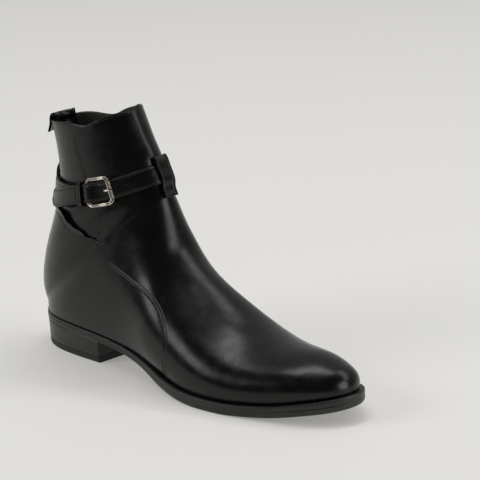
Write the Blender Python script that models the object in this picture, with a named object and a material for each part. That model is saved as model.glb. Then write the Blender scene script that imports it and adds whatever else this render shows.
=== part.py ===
# Right boot of a pair of jodhpur boots, built from the sole up.
# Last coordinates are in millimetres: x from heel back to toe, y to the inner side, z up from the floor.
# The world origin is the middle of the heel's resting face, so every node moves back by REST_X.
import math
import bpy
import bmesh
import numpy as np

MM = 0.001

# Sizes of the shoe
SOLE_LENGTH = 306.0
BALL_WIDTH = 100.0
TOE_SWING = 2.9
HEEL_HEIGHT = 21.3
TOE_SPRING = 11.9
INSTEP_RISE = 85.0
SHAFT_RISE = 151.0
HEEL_LENGTH = 78.5
BREAST_SKEW = 4.0
LIFT_HEIGHT = 5.6

# Thicknesses and gaps
OUTSOLE_HEEL = 3.9
OUTSOLE_TREAD = 4.9
WELT_HEEL = 1.65
WELT_TREAD = 3.1
WELT_TOE = 1.0
WELT_REACH = 12.0
WALL = 1.4
LAP = 1.5
QUARTER_LEATHER = 0.95
QUARTER_GAP = 0.7
STRAP_WIDTH = 14.2
STRAP_LEATHER = 1.7
LAYER_GAP = 0.4
LOOP_LEATHER = 1.3
INSOLE_BOARD = 2.6
GAP = 0.3

# Strap fittings
FRAME_LENGTH = 20.5
FRAME_WIDTH = 19.5
WIRE = 2.0
PRONG_WIRE = 1.6
HOLE = 3.2
KEEPER_WIDTH = 5.6
FRONT_LOOP_WIDTH = 12.5
BACK_LOOP_WIDTH = 12.0
PULL_SPAN = 0.072

# Colour, roughness and metallic value of each piece
CALF = ((0.012, 0.012, 0.013), 0.28, 0.0)
SOLE = ((0.030, 0.026, 0.024), 0.45, 0.0)
METAL = ((0.72, 0.66, 0.58), 0.20, 1.0)
FINISH = {
    'outsole': SOLE, 'welt': SOLE, 'heel_block': SOLE, 'top_lift': ((0.020, 0.020, 0.020), 0.60, 0.0),
    'insole': ((0.050, 0.045, 0.040), 0.60, 0.0), 'upper': CALF, 'quarter': CALF, 'ankle_strap': CALF,
    'strap_keeper': CALF, 'front_loop': CALF, 'back_loop': CALF, 'pull_loop': CALF,
    'buckle_frame': METAL, 'buckle_prong': METAL,
}

# Sole edge: share of length, half width to the outer and to the inner side as shares of ball width
OUTLINE = [
    (0.000, 0.000, 0.000), (0.022, 0.150, 0.150), (0.070, 0.255, 0.255), (0.140, 0.302, 0.302),
    (0.240, 0.314, 0.286), (0.380, 0.329, 0.228), (0.500, 0.440, 0.272), (0.600, 0.516, 0.406),
    (0.680, 0.519, 0.467), (0.770, 0.472, 0.441), (0.860, 0.390, 0.362), (0.930, 0.297, 0.271),
    (0.980, 0.178, 0.158), (1.000, 0.000, 0.000),
]

# Underside of the outsole: share of length, share of heel height, share of toe spring
UNDERSIDE = [
    (0.000, 1.000, 0.000), (0.220, 0.860, 0.000), (0.320, 0.704, 0.000), (0.420, 0.460, 0.000),
    (0.520, 0.160, 0.000), (0.600, 0.028, 0.000), (0.645, 0.000, 0.000), (0.720, 0.000, 0.000),
    (0.760, 0.000, 0.058), (0.840, 0.000, 0.258), (0.920, 0.000, 0.618), (1.000, 0.000, 1.000),
]

# Feather line, where the upper meets the welt: share of length, inset from the sole edge
FEATHER = [(0.0, 0.0), (0.3, 0.5), (0.42, 1.4), (0.55, 3.4), (0.8, 4.0), (1.0, 4.2)]

# Sections of the last from toe to collar. Each lies in a plane across the boot, from its foot to its ridge.
# name, run, foot (share of length), foot rise (of shaft rise), ridge (share of length),
# ridge rise (of instep rise), tuck outer and inner (of ball width), fullness, ridge shift (of ball width)
SECTIONS = [
    ('tip', 0, 0.9863, 0.000, 0.9863, 0.000, 0.000, 0.000, 1.00, 0.000),
    ('toe', 12, 0.9768, 0.000, 0.9732, 0.146, 0.050, 0.050, 1.00, 0.000),
    ('toe_end', 26, 0.9487, 0.000, 0.9405, 0.230, 0.080, 0.080, 1.00, 0.000),
    ('cap', 46, 0.8948, 0.000, 0.8850, 0.321, 0.100, 0.100, 1.02, 0.000),
    ('vamp_toe', 76, 0.8007, 0.000, 0.7908, 0.389, 0.120, 0.120, 1.04, 0.005),
    ('ball', 116, 0.6797, 0.000, 0.6732, 0.515, 0.140, 0.147, 1.06, 0.020),
    ('joint', 150, 0.5752, 0.000, 0.5817, 0.699, 0.180, 0.196, 1.08, 0.030),
    ('waist', 184, 0.4575, 0.000, 0.4912, 0.859, 0.270, 0.275, 1.06, 0.030),
    ('instep', 216, 0.3399, 0.000, 0.4554, 1.008, 0.250, 0.266, 1.04, 0.020),
    ('seat', 246, 0.2288, 0.000, 0.4356, 1.145, 0.211, 0.206, 1.02, 0.010),
    ('heel_low', 270, 0.1242, 0.000, 0.4243, 1.240, 0.218, 0.206, 1.00, 0.005),
    ('heel_in', 290, 0.0392, 0.000, 0.4172, 1.296, 0.290, 0.274, 1.00, 0.000),
    ('heel_back', 304, 0.0000, 0.000, 0.4067, 1.338, 0.352, 0.338, 1.00, 0.000),
    ('counter', 320, -0.0106, 0.125, 0.3978, 1.398, 0.350, 0.338, 1.00, 0.000),
    ('heel_top', 342, 0.0236, 0.337, 0.3855, 1.490, 0.330, 0.324, 1.00, 0.000),
    ('ankle', 364, 0.0654, 0.535, 0.3769, 1.601, 0.303, 0.302, 1.00, 0.000),
    ('strap', 384, 0.0696, 0.708, 0.3575, 1.710, 0.290, 0.293, 1.00, 0.000),
    ('shaft', 404, 0.0614, 0.853, 0.3390, 1.825, 0.280, 0.289, 1.00, 0.000),
    ('collar', 424, 0.0450, 0.999, 0.3183, 1.965, 0.276, 0.287, 1.00, 0.000),
    ('peak', 444, 0.0250, 1.130, 0.2980, 2.100, 0.274, 0.287, 1.00, 0.000),
]
HEEL_ROW = [row[0] for row in SECTIONS].index('heel_back')
HEEL_RUN = SECTIONS[HEEL_ROW][1]
HEEL_ROUND = 16.0

# Edge of the vamp and its front panel: run, share of the girth counted from the back
PANEL_EDGE = [
    (161, 0.125), (163, 0.168), (167, 0.206), (172, 0.231), (177, 0.248), (182, 0.257), (189, 0.260),
    (198, 0.256), (207, 0.249), (219, 0.235), (233, 0.224), (244, 0.218), (253, 0.215), (260, 0.216),
    (268, 0.225), (277, 0.240), (290, 0.268), (296, 0.286), (303, 0.303), (310, 0.313), (318, 0.318),
    (326, 0.316), (335, 0.310), (353, 0.285), (375, 0.256), (386, 0.251), (397, 0.243), (404, 0.242), (410, 0.247), (413, 0.256), (415, 0.268),
    (417, 0.283), (419, 0.297), (421, 0.320),
]
EDGE_WIDTH = 0.003
EDGE_MARGIN = 0.0025
SEAM_START = PANEL_EDGE[0][0]

# Top edge: share of the half girth from the back, run at the edge on the outer and on the inner side
TOP_EDGE = [(0.00, 424.0, 424.0), (0.09, 424.6, 425.2), (0.16, 424.6, 423.0), (0.215, 424.0, 420.2),
            (0.262, 422.0, 423.6), (0.302, 419.5, 425.6), (0.343, 422.4, 427.4), (0.385, 425.4, 429.2),
            (0.430, 427.3, 430.6), (0.475, 427.6, 431.8), (0.500, 429.6, 429.6)]
TRIM_RUN = 0.5 * (SECTIONS[-4][1] + SECTIONS[-3][1])

# Quarter: share along its half, run at the bottom, run and girth at the top, bend of the line between.
# A girth of 1 stands for the edge of the vamp.
QUARTER = [
    (0.00, 163, 176, 1.0, 4.4), (0.07, 176, 191, 1.0, 3.0), (0.14, 188, 205, 1.0, 2.2),
    (0.21, 200, 221, 1.0, 1.8), (0.29, 213, 240, 1.0, 1.5), (0.35, 224, 254, 1.0, 1.3),
    (0.40, 231, 264, 1.0, 1.2), (0.45, 238, 278, 1.0, 1.1), (0.49, 244, 288, 0.258, 1.1),
    (0.53, 249, 296, 0.277, 1.1), (0.57, 254, 303, 0.286, 1.1), (0.63, 261, 315, 0.283, 1.1),
    (0.70, 270, 330, 0.257, 1.1), (0.78, 279, 342, 0.226, 1.1), (0.86, 288, 355, 0.183, 1.1),
    (0.92, 295, 363, 0.115, 1.1), (1.00, 304, 367, 0.000, 1.1),
]
# Quarter's stand-off at its free edge: share along its half, distance
STAND_OFF = [(0.0, 0.0), (0.48, 0.0), (0.60, 1.8), (0.74, 3.6), (0.86, 4.2), (0.93, 3.4), (1.0, 2.4)]

# Strap: girth, run of its middle, distance of its inner face from the upper, lean of its upper edge inward
STRAP_LINE = [(0.00, 379, 3.0, 1.2), (0.06, 378, 2.6, 1.0), (0.12, 375, 2.2, 0.6), (0.18, 369.5, 2.0, 0.2),
              (0.24, 363, 1.9, 0.0), (0.29, 355.5, 1.8, 0.0), (0.35, 346, 1.5, 0.0), (0.42, 337, 1.3, 0.0),
              (0.50, 332, 1.3, 0.0)]
TIP_DROP = 4.5
BAR_SHARE = 0.290
FRAME_END = 0.356
HOLE_SHARE = 0.343
KEEPER_SHARE = 0.264
STRAP_START = 0.301
STRAP_TIP = 0.115

# Front loop and back loop: run, distance of the inner face from the upper
FRONT_LOOP = [(281, 0.4), (288, 0.5), (296, 0.8), (304, 1.8), (312, 3.1), (320, 3.8), (329, 4.0), (338, 4.0),
              (347, 3.7), (355, 3.1), (361, 2.3), (363.5, 1.4), (362.5, 0.5)]
BACK_LOOP = [(396, -1.1), (393, 1.2), (389, 4.2), (384, 5.5), (378, 6.4), (372, 7.4), (366, 8.0), (361, 6.4)]
FRONT_LOOP_GIRTH = 0.512

# Pull loop: runs of its inner end up to the collar, then drop and flare of its outer end
PULL_INSIDE = [405, 411, 417]
PULL_OUTSIDE = [(2.0, 0.4), (5.5, 1.1), (9.0, 2.0)]

REST_X = 0.5 * HEEL_LENGTH


def spline(knots, values, at, ends=(None, None)):
    """Smooth cubic through the knots, with given or free end slopes."""
    k, v = np.asarray(knots, float), np.asarray(values, float)
    n, h = len(k), np.diff(k)
    m, r = np.zeros((n, n)), np.zeros(n)
    for i in range(1, n - 1):
        m[i, i - 1:i + 2] = 1 / h[i - 1], 2 * (1 / h[i - 1] + 1 / h[i]), 1 / h[i]
        r[i] = 3 * ((v[i] - v[i - 1]) / h[i - 1] ** 2 + (v[i + 1] - v[i]) / h[i] ** 2)
    for i, near, step, end in ((0, 1, h[0], ends[0]), (n - 1, n - 2, h[-1], ends[1])):
        m[i, i], r[i] = 1, end or 0.0
        if end is None:
            m[i, i], m[i, near], r[i] = 2, 1, 3 * (v[i] - v[near]) / step * np.sign(i - near)
    return hermite(k, v, np.linalg.solve(m, r), at)


def even(knots, values, at):
    """Curve through the knots that never overshoots them."""
    k, v = np.asarray(knots, float), np.asarray(values, float)
    s = np.diff(v) / np.diff(k)
    d = np.zeros(len(k))
    both = s[:-1] * s[1:] > 0
    d[1:-1][both] = 2 * s[:-1][both] * s[1:][both] / (s[:-1] + s[1:])[both]
    d[0], d[-1] = s[0], s[-1]
    return hermite(k, v, d, at)


def hermite(k, v, d, at):
    x = np.clip(np.asarray(at, float), k[0], k[-1])
    j = np.clip(np.searchsorted(k, x, side='right') - 1, 0, len(k) - 2)
    h = k[j + 1] - k[j]
    t = (x - k[j]) / h
    return ((2 * t ** 3 - 3 * t ** 2 + 1) * v[j] + (t ** 3 - 2 * t ** 2 + t) * h * d[j]
            + (3 * t ** 2 - 2 * t ** 3) * v[j + 1] + (t ** 3 - t ** 2) * h * d[j + 1])


def column(table, i):
    return [row[i] for row in table]


def ease(t):
    t = np.clip(t, 0, 1)
    return t * t * (3 - 2 * t)


def underside(x):
    rise = [HEEL_HEIGHT * row[1] + TOE_SPRING * row[2] for row in UNDERSIDE]
    return even([row[0] * SOLE_LENGTH for row in UNDERSIDE], rise, x)


def tread_share(x):
    return ease((np.asarray(x) / SOLE_LENGTH - 0.35) / 0.2)


def outsole_top(x):
    return underside(x) + OUTSOLE_HEEL + (OUTSOLE_TREAD - OUTSOLE_HEEL) * tread_share(x)


def welt_top(x):
    toe = ease((np.asarray(x) / SOLE_LENGTH - 0.82) / 0.18)
    return outsole_top(x) + GAP + WELT_HEEL + (WELT_TREAD - WELT_HEEL) * tread_share(x) + WELT_TOE * toe


def feather_height(x):
    return welt_top(x) + GAP


def swing(x):
    return TOE_SWING * np.clip((np.asarray(x) / SOLE_LENGTH - 0.68) / 0.32, 0, 1) ** 1.5


def feather_inset(x):
    return even([row[0] * SOLE_LENGTH for row in FEATHER], column(FEATHER, 1), x)


def side_curve(side, inset, count):
    """Half outline from heel back to toe tip, moved in by a distance or a function of x."""
    knots = np.array([(row[0] * SOLE_LENGTH, row[1 + side] * BALL_WIDTH) for row in OUTLINE])
    run = np.r_[0, np.cumsum(np.hypot(*np.diff(knots, axis=0).T))]
    at = run[-1] * (1 - np.cos(np.linspace(0, math.pi, count))) / 2
    at = 0.55 * at + 0.45 * np.linspace(0, run[-1], count)
    x, y = spline(run, knots[:, 0], at, (0.0, 0.0)), spline(run, knots[:, 1], at, (1.0, -1.0))
    tx, ty = np.gradient(x), np.gradient(y)
    tx[[0, -1]] = 0
    size = np.hypot(tx, ty)
    d = inset(x) if callable(inset) else inset
    px, py = x + d * ty / size, y - d * tx / size
    py[[0, -1]] = 0
    return px, np.maximum(py, 0)


def loop(inset, count=32):
    """Closed outline: heel back, outer side, toe tip, inner side."""
    (ax, ay), (bx, by) = side_curve(0, inset, count + 1), side_curve(1, inset, count + 1)
    return np.r_[ax, bx[-2:0:-1]], np.r_[-ay, by[-2:0:-1]] + swing(np.r_[ax, bx[-2:0:-1]])


FEATHER_SIDE = [side_curve(side, feather_inset, 900) for side in (0, 1)]


def section_values(run):
    """Foot, ridge, tucks, fullness, shift and feather half widths at a run along the boot."""
    runs = column(SECTIONS, 1)
    foot = np.array(column(SECTIONS, 2)) * SOLE_LENGTH
    back = run > HEEL_RUN
    seat = float(feather_height(foot[HEEL_ROW]))
    low = spline(runs[:HEEL_ROW + 1], foot[:HEEL_ROW + 1], np.minimum(run, HEEL_RUN), (0.0, 0.0))
    high = spline(runs[HEEL_ROW:], foot[HEEL_ROW:], np.maximum(run, HEEL_RUN))
    climb = spline(runs[HEEL_ROW:], column(SECTIONS[HEEL_ROW:], 3), np.maximum(run, HEEL_RUN))
    foot_x = np.where(back, high, low)
    foot_z = np.where(back, seat + SHAFT_RISE * climb, feather_height(low))
    base = np.where(np.arange(len(runs)) > HEEL_ROW, seat, feather_height(foot))
    ridge_x = spline(runs, np.array(column(SECTIONS, 4)) * SOLE_LENGTH, run, (0.0, None))
    ridge_z = spline(runs, base + np.array(column(SECTIONS, 5)) * INSTEP_RISE, run)
    tuck = [spline(runs, np.array(column(SECTIONS, i)) * BALL_WIDTH, run) for i in (6, 7)]
    full = spline(runs, column(SECTIONS, 8), run)
    shift = spline(runs, np.array(column(SECTIONS, 9)) * BALL_WIDTH, run, (0.0, None))
    half = [np.where(back, 0.0, np.interp(low, *side)) for side in FEATHER_SIDE]
    return foot_x, foot_z, ridge_x, ridge_z, tuck, full, shift, half


def section_point(run, girth):
    """Point of one section of the last."""
    foot_x, foot_z, ridge_x, ridge_z, tuck, full, shift, half = section_values(run)
    outer = girth <= 0.5
    t = np.where(outer, 2 * girth, 2 - 2 * girth)
    c, f = np.where(outer, tuck[0], tuck[1]), np.where(outer, half[0], half[1])
    width = np.hypot(c, f)
    start = -np.arctan2(c, f + 1e-9)
    angle = start + (math.pi / 2 - start) * t
    h = (np.sin(angle) - np.sin(start)) / (1 - np.sin(start))
    cosine = np.maximum(np.cos(angle), 0)
    y = width * np.where(angle > 0, cosine ** full, cosine)
    x = foot_x + (ridge_x - foot_x) * h
    y = np.where(outer, -y, y) + shift * h * h + swing(foot_x)
    return np.stack([x, y, foot_z + (ridge_z - foot_z) * h], -1)


def last(run, girth):
    """Point on the outer face of the upper; girth runs from 0 outside, over the ridge at 0.5, to 1 inside."""
    run, girth = np.broadcast_arrays(np.asarray(run, float), np.asarray(girth, float))
    side = np.minimum(girth, 1 - girth)
    reach = HEEL_ROUND * ease((side - 0.008) / 0.11) * ease(1.15 - np.abs(run - HEEL_RUN) / (2.2 * HEEL_ROUND))
    if not reach.any():
        return section_point(run, girth)
    steps = np.linspace(-1, 1, 9)
    weights = (1 - 0.9 * steps ** 2) / (1 - 0.9 * steps ** 2).sum()
    return sum(w * section_point(run + s * reach, girth) for s, w in zip(steps, weights))


def outward(run, girth):
    """Unit normal of the last."""
    run, girth = np.broadcast_arrays(np.asarray(run, float), np.asarray(girth, float))
    u = np.maximum(run, 1.0)
    du = last(u + 0.4, girth) - last(u - 0.4, girth)
    lo, hi = np.maximum(girth - 0.004, 0), np.minimum(girth + 0.004, 1)
    n = np.cross(last(u, hi) - last(u, lo), du)
    seam = (run >= HEEL_RUN - 0.01) & ((girth < 0.001) | (girth > 0.999))
    n[..., 1] = np.where(seam, 0, n[..., 1])
    return n / np.linalg.norm(n, axis=-1, keepdims=True)


def lifted(run, girth, distance):
    return last(run, girth) + outward(run, girth) * np.asarray(distance, float)[..., None]


def make_node(name, verts, faces, sharp):
    """One closed mesh object in the shared frame, its edges sharp above an angle."""
    bm = bmesh.new()
    for v in verts:
        bm.verts.new(((v[0] - REST_X) * MM, v[1] * MM, v[2] * MM))
    bm.verts.ensure_lookup_table()
    for face in faces:
        corners = list(dict.fromkeys(face))
        if len(corners) > 2:
            bm.faces.new([bm.verts[i] for i in corners])
    loose = [v for v in bm.verts if not v.link_faces]
    bmesh.ops.delete(bm, geom=loose, context='VERTS')
    bmesh.ops.recalc_face_normals(bm, faces=bm.faces)
    mesh = bpy.data.meshes.new(name)
    bm.to_mesh(mesh)
    bm.free()
    mesh.shade_smooth()
    mesh.set_sharp_from_angle(angle=math.radians(sharp))
    if name in FINISH:
        mesh.materials.append(make_material(name, *FINISH[name]))
    obj = bpy.data.objects.new(name, mesh)
    bpy.context.scene.collection.objects.link(obj)
    return obj


def make_material(name, colour, rough, metal):
    mat = bpy.data.materials.new(name)
    mat.use_nodes = True
    shader = mat.node_tree.nodes['Principled BSDF']
    shader.inputs['Base Color'].default_value = (*colour, 1)
    shader.inputs['Roughness'].default_value = rough
    shader.inputs['Metallic'].default_value = metal
    return mat


def cap(base, count, flip):
    """Faces across a closed loop that pairs its two sides."""
    half = count // 2
    faces = [(base + i, base + i + 1, base + (count - i - 1) % count, base + (count - i) % count)
             for i in range(half)]
    return [f[::-1] for f in faces] if flip else faces


def stack(rings, closed):
    """Vertices and faces of rings of equal count; closed joins last to first, else both ends are capped."""
    count = len(rings[0])
    verts = np.concatenate(rings)
    faces = []
    pairs = len(rings) if closed else len(rings) - 1
    for r in range(pairs):
        a, b = r * count, (r + 1) % len(rings) * count
        faces += [(a + i, a + (i + 1) % count, b + (i + 1) % count, b + i) for i in range(count)]
    if not closed:
        faces += cap(0, count, True) + cap((len(rings) - 1) * count, count, False)
    return verts, faces


def ring(xy, height):
    x, y = xy
    return np.stack([x, y, height(x) if callable(height) else np.full(len(x), height)], -1)


def build_outsole():
    rings = [ring(loop(0.9), underside), ring(loop(0.2), lambda x: underside(x) + 0.9),
             ring(loop(0.0), lambda x: underside(x) + 2.2),
             ring(loop(0.3), lambda x: outsole_top(x) - 0.5), ring(loop(0.9), outsole_top)]
    return make_node('outsole', *stack(rings, False), 40)


def build_welt():
    low = lambda x: outsole_top(x) + GAP
    inner = lambda x: feather_inset(x) + WELT_REACH
    rings = [ring(loop(0.9), low), ring(loop(0.3), lambda x: low(x) + 0.4),
             ring(loop(0.4), lambda x: welt_top(x) - 0.5), ring(loop(1.0), welt_top),
             ring(loop(inner), welt_top), ring(loop(inner), low)]
    return make_node('welt', *stack(rings, True), 40)


def heel_loop(inset):
    """Outline of the heel, square at its breast."""
    out = []
    for side, sign in ((0, -1), (1, 1)):
        breast = HEEL_LENGTH + (BREAST_SKEW if side else 0.0)
        x, y = side_curve(side, inset, 200)
        run = np.linspace(0, 1, 13)
        arc = np.r_[0, np.cumsum(np.hypot(np.diff(x), np.diff(y)))]
        stop = np.interp(breast, x[:120], arc[:120])
        at = run * stop
        out.append((np.interp(at, arc, x), sign * np.interp(at, arc, y)))
    (ax, ay), (bx, by) = out
    mid = (0.5 * (ax[-1] + bx[-1]), 0.5 * (ay[-1] + by[-1]))
    return np.r_[ax, mid[0], bx[:0:-1]], np.r_[ay, mid[1], by[:0:-1]]


def build_heel():
    top = lambda x: underside(x) - GAP
    middle = lambda x: 0.5 * (LIFT_HEIGHT + top(x))
    base = LIFT_HEIGHT + GAP
    rings = [ring(heel_loop(1.15), base), ring(heel_loop(0.75), middle), ring(heel_loop(0.5), top)]
    make_node('heel_block', *stack(rings, False), 40)
    rings = [ring(heel_loop(2.0), 0.0), ring(heel_loop(1.4), 0.7), ring(heel_loop(1.2), LIFT_HEIGHT)]
    make_node('top_lift', *stack(rings, False), 40)


def build_insole():
    """Board inside the upper with its filler let down inside the welt."""
    wall = WALL + LAP
    board = lambda x: feather_inset(x) + wall + 5 * GAP
    filler = lambda x: feather_inset(x) + WELT_REACH + GAP
    over = lambda x: welt_top(x) + GAP
    rings = [ring(loop(filler), lambda x: outsole_top(x) + GAP), ring(loop(filler), over),
             ring(loop(board), over), ring(loop(board), lambda x: over(x) + INSOLE_BOARD)]
    return make_node('insole', *stack(rings, False), 40)


def edge_share(run):
    """Girth share of the edge of the vamp and its front panel."""
    return even(column(PANEL_EDGE, 0), column(PANEL_EDGE, 1), run)


def upper_runs():
    toe = [0, 2, 5, 9, 14, 20, 28, 38, 50, 64]
    vamp = [80, 97, 114, 130, 144, 155, SEAM_START, SEAM_START + 0.7, 166, 170, 175, 182, 190, 200, 212, 226,
            240]
    seat = [251, 260, 268, 276, 284, 291, 297, 301.5, HEEL_RUN]
    return toe + vamp + seat + [310, 318, 328, 340, 352, 366, 380, TRIM_RUN]


def build_upper():
    """Hollow upper: outer face on the last, let in by the lap behind the vamp's edge, closed at the back."""
    runs, trim = upper_runs(), list(np.linspace(0, 1, 8))[1:]
    behind, ahead = np.linspace(0, 1, 8), np.array([0, 0.15, 0.32, 0.5, 0.66, 0.8, 0.9, 1.0])
    rows = []
    for i in range(len(runs) + len(trim)):
        t = 0 if i < len(runs) else trim[i - len(runs)]
        middle = TRIM_RUN + (TOP_EDGE[5][1] - TRIM_RUN) * t if t else runs[i]
        edge = float(edge_share(middle))
        half = np.r_[edge * behind, edge + EDGE_WIDTH + (0.5 - EDGE_WIDTH - edge) * ahead]
        girth = np.r_[half, 1 - half[-2::-1]]
        side = np.minimum(girth, 1 - girth)
        run = np.full(len(girth), float(middle))
        if t:
            top = [even(column(TOP_EDGE, 0), column(TOP_EDGE, k), side) for k in (1, 2)]
            run = TRIM_RUN + (np.where(girth <= 0.5, *top) - TRIM_RUN) * t
        lap = LAP * (run > SEAM_START + 0.1) * (side < edge + 0.001)
        rows.append((run, girth, lap))
    count = len(rows[0][0])
    verts, keys = [], {}
    for layer in (0, 1):
        for i, (run, girth, lap) in enumerate(rows):
            depth = np.full(count, WALL + LAP) if layer else lap
            points, flat, n = lifted(run, girth, -depth), lifted(run, girth, 0.0), outward(run, girth)
            n[..., 2] = 0
            n /= np.linalg.norm(n, axis=-1, keepdims=True)
            for j in range(count):
                seam = j in (0, count - 1)
                key, p = (layer, i, j), points[j]
                if i == 0:
                    key, p = (layer, 0, 0), last(0.0, 0.5) - np.array([depth[0], 0, 0])
                elif seam and run[j] < HEEL_RUN + 0.01:
                    p = flat[j] - n[j] * depth[j]
                if i and seam and run[j] > HEEL_RUN - 0.01:
                    key = (layer, i, 0)
                if key not in keys:
                    keys[key] = len(verts)
                    verts.append(p)
                keys[(layer, i, j)] = keys[key]
    k = lambda layer, i, j: keys[(layer, i, j)]
    faces = []
    for i in range(len(rows) - 1):
        for j in range(count - 1):
            faces.append((k(0, i, j), k(0, i, j + 1), k(0, i + 1, j + 1), k(0, i + 1, j)))
            faces.append((k(1, i, j), k(1, i + 1, j), k(1, i + 1, j + 1), k(1, i, j + 1)))
    for j in (0, count - 1):
        seat = range(runs.index(HEEL_RUN))
        faces += [(k(0, i, j), k(0, i + 1, j), k(1, i + 1, j), k(1, i, j)) for i in seat]
    top = len(rows) - 1
    faces += [(k(0, top, j), k(0, top, j + 1), k(1, top, j + 1), k(1, top, j)) for j in range(count - 1)]
    return make_node('upper', verts, faces, 50)


def sheet(name, mid, lift):
    """Closed solid between two faces given as grids of points."""
    rows, cols = mid.shape[:2]
    verts = np.concatenate([mid.reshape(-1, 3), lift.reshape(-1, 3)])
    n = rows * cols
    at = lambda i, j: i * cols + j
    faces = []
    for i in range(rows - 1):
        for j in range(cols - 1):
            q = (at(i, j), at(i, j + 1), at(i + 1, j + 1), at(i + 1, j))
            faces += [q[::-1], tuple(n + v for v in q)]
    rim = [at(i, 0) for i in range(rows)] + [at(rows - 1, j) for j in range(1, cols)]
    rim += [at(i, cols - 1) for i in range(rows - 2, -1, -1)] + [at(0, j) for j in range(cols - 2, 0, -1)]
    faces += [(a, b, n + b, n + a) for a, b in zip(rim, rim[1:] + rim[:1])]
    return make_node(name, verts, faces, 50)


def quarter_place(along, up):
    """Run, girth and extra distance of a point of the quarter; along is 0 at one seam and 1 at the other."""
    share = 1 - abs(2 * along - 1)
    low, high, girth, bend = [even(column(QUARTER, 0), column(QUARTER, i), share) for i in (1, 2, 3, 4)]
    girth = np.minimum(girth, edge_share(high) - EDGE_MARGIN)
    side = girth * up
    run = low + (high - low) * up ** bend
    seam = [row for row in PANEL_EDGE if row[0] < SEAM_START + 25]
    run = np.maximum(run, even(column(seam, 1), column(seam, 0), side + EDGE_MARGIN) + 0.8)
    stand = even(column(STAND_OFF, 0), column(STAND_OFF, 1), share) * ease((up - 0.5) / 0.5)
    return run, np.where(along <= 0.5, side, 1 - side), stand


def build_quarter():
    """Quarter lying in the let-in face of the upper, its free edge standing off round the back."""
    along = np.linspace(0, 1, 49)[None, :]
    up = np.linspace(0, 1, 9)[:, None]
    run, girth, stand = quarter_place(along + 0 * up, up + 0 * along)
    faces = []
    for distance in (QUARTER_GAP - LAP, QUARTER_GAP - LAP + QUARTER_LEATHER):
        grid = lifted(run, girth, distance + stand)
        flat = outward(run[0], girth[0])
        flat[:, 2] = 0
        flat /= np.linalg.norm(flat, axis=-1, keepdims=True)
        grid[0] = last(run[0], girth[0]) + flat * (distance + 0.2)
        grid[:, grid.shape[1] // 2, 1] = 0
        faces.append(grid)
    return sheet('quarter', *faces)


def strap_line(share, i):
    side = np.minimum(share % 1.0, 1 - share % 1.0)
    return spline(column(STRAP_LINE, 0), column(STRAP_LINE, i), side, (0.0, 0.0))


def strap_frame(share, across, rise, drop=0.0):
    """Point of the strap ring at a girth share from the back, across its width and above its inner line."""
    run = strap_line(share, 1) - drop
    centre, n = last(run, share % 1.0), outward(run, share % 1.0)
    up = last(run + 1.5, share % 1.0) - last(run - 1.5, share % 1.0)
    a, b = share - 0.004, share + 0.004
    ahead = last(strap_line(b, 1), b % 1.0) - last(strap_line(a, 1), a % 1.0)
    wide = np.cross(ahead, n)
    wide /= np.linalg.norm(wide, axis=-1, keepdims=True)
    wide *= np.sign((wide * up).sum(-1, keepdims=True))
    lean = strap_line(share, 3) * across / (STRAP_WIDTH / 2)
    return centre + n * (strap_line(share, 2) + rise - lean)[..., None] + wide * np.asarray(across)[..., None]


def strap_drop(turn):
    """How far the strap's second layer slips below the ring line toward its tip."""
    return TIP_DROP * ease((turn - 1 + STRAP_START) / (STRAP_START - STRAP_TIP)) if turn > 0.5 else 0.0


def strap_rise(turn):
    """Height of the strap's inner face above the ring line as the strap winds on to its second layer."""
    share = 1 - turn
    second = ease((0.41 - share) / 0.06) * (turn > 0.5)
    past = share - BAR_SHARE - 0.004
    spread = np.where(past < 0, 0.0125, 0.022)
    bar = (WIRE + 2 * GAP) * np.exp(-(past / spread) ** 2) * (turn > 0.5)
    return second * (STRAP_LEATHER + LAYER_GAP) + bar


def band(points_at, stations, width, thick):
    """Rings of a soft-edged flat strip."""
    edge, half = 0.28 * thick, width / 2
    profile = [(-half, edge), (-half, thick - edge), (edge - half, thick), (half - edge, thick),
               (half, thick - edge), (half, edge), (half - edge, 0), (edge - half, 0)]
    return [np.stack([points_at(s, a, r) for a, r in profile]) for s in stations]


def ribbon(rings):
    count = len(rings[0])
    faces = []
    for r in range(len(rings) - 1):
        a, b = r * count, (r + 1) * count
        faces += [(a + i, a + (i + 1) % count, b + (i + 1) % count, b + i) for i in range(count)]
    end = (len(rings) - 1) * count
    faces += [tuple(range(count))[::-1], tuple(end + i for i in range(count))]
    return np.concatenate(rings), faces


def build_strap():
    """One strap: from the bar round the back, the inside and the front, over the bar and on to its tip."""
    start, stop = -STRAP_START, 1 - STRAP_TIP
    near_bar = np.linspace(1 - 0.350, 1 - 0.268, 22)
    turns = np.sort(np.r_[np.linspace(start, 1 - 0.358, 42), near_bar, np.linspace(1 - 0.260, stop, 9)])

    def place(t, across, rise):
        width = across * (1 - 0.45 * max(0, (t - stop + 0.02) / 0.02) ** 2)
        height = strap_rise(max(t, 0)) + rise
        return strap_frame(np.array(-t % 1.0), np.array(width), np.array(height), strap_drop(t))
    return make_node('ankle_strap', *ribbon(band(place, turns, STRAP_WIDTH, STRAP_LEATHER)), 60)


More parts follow.
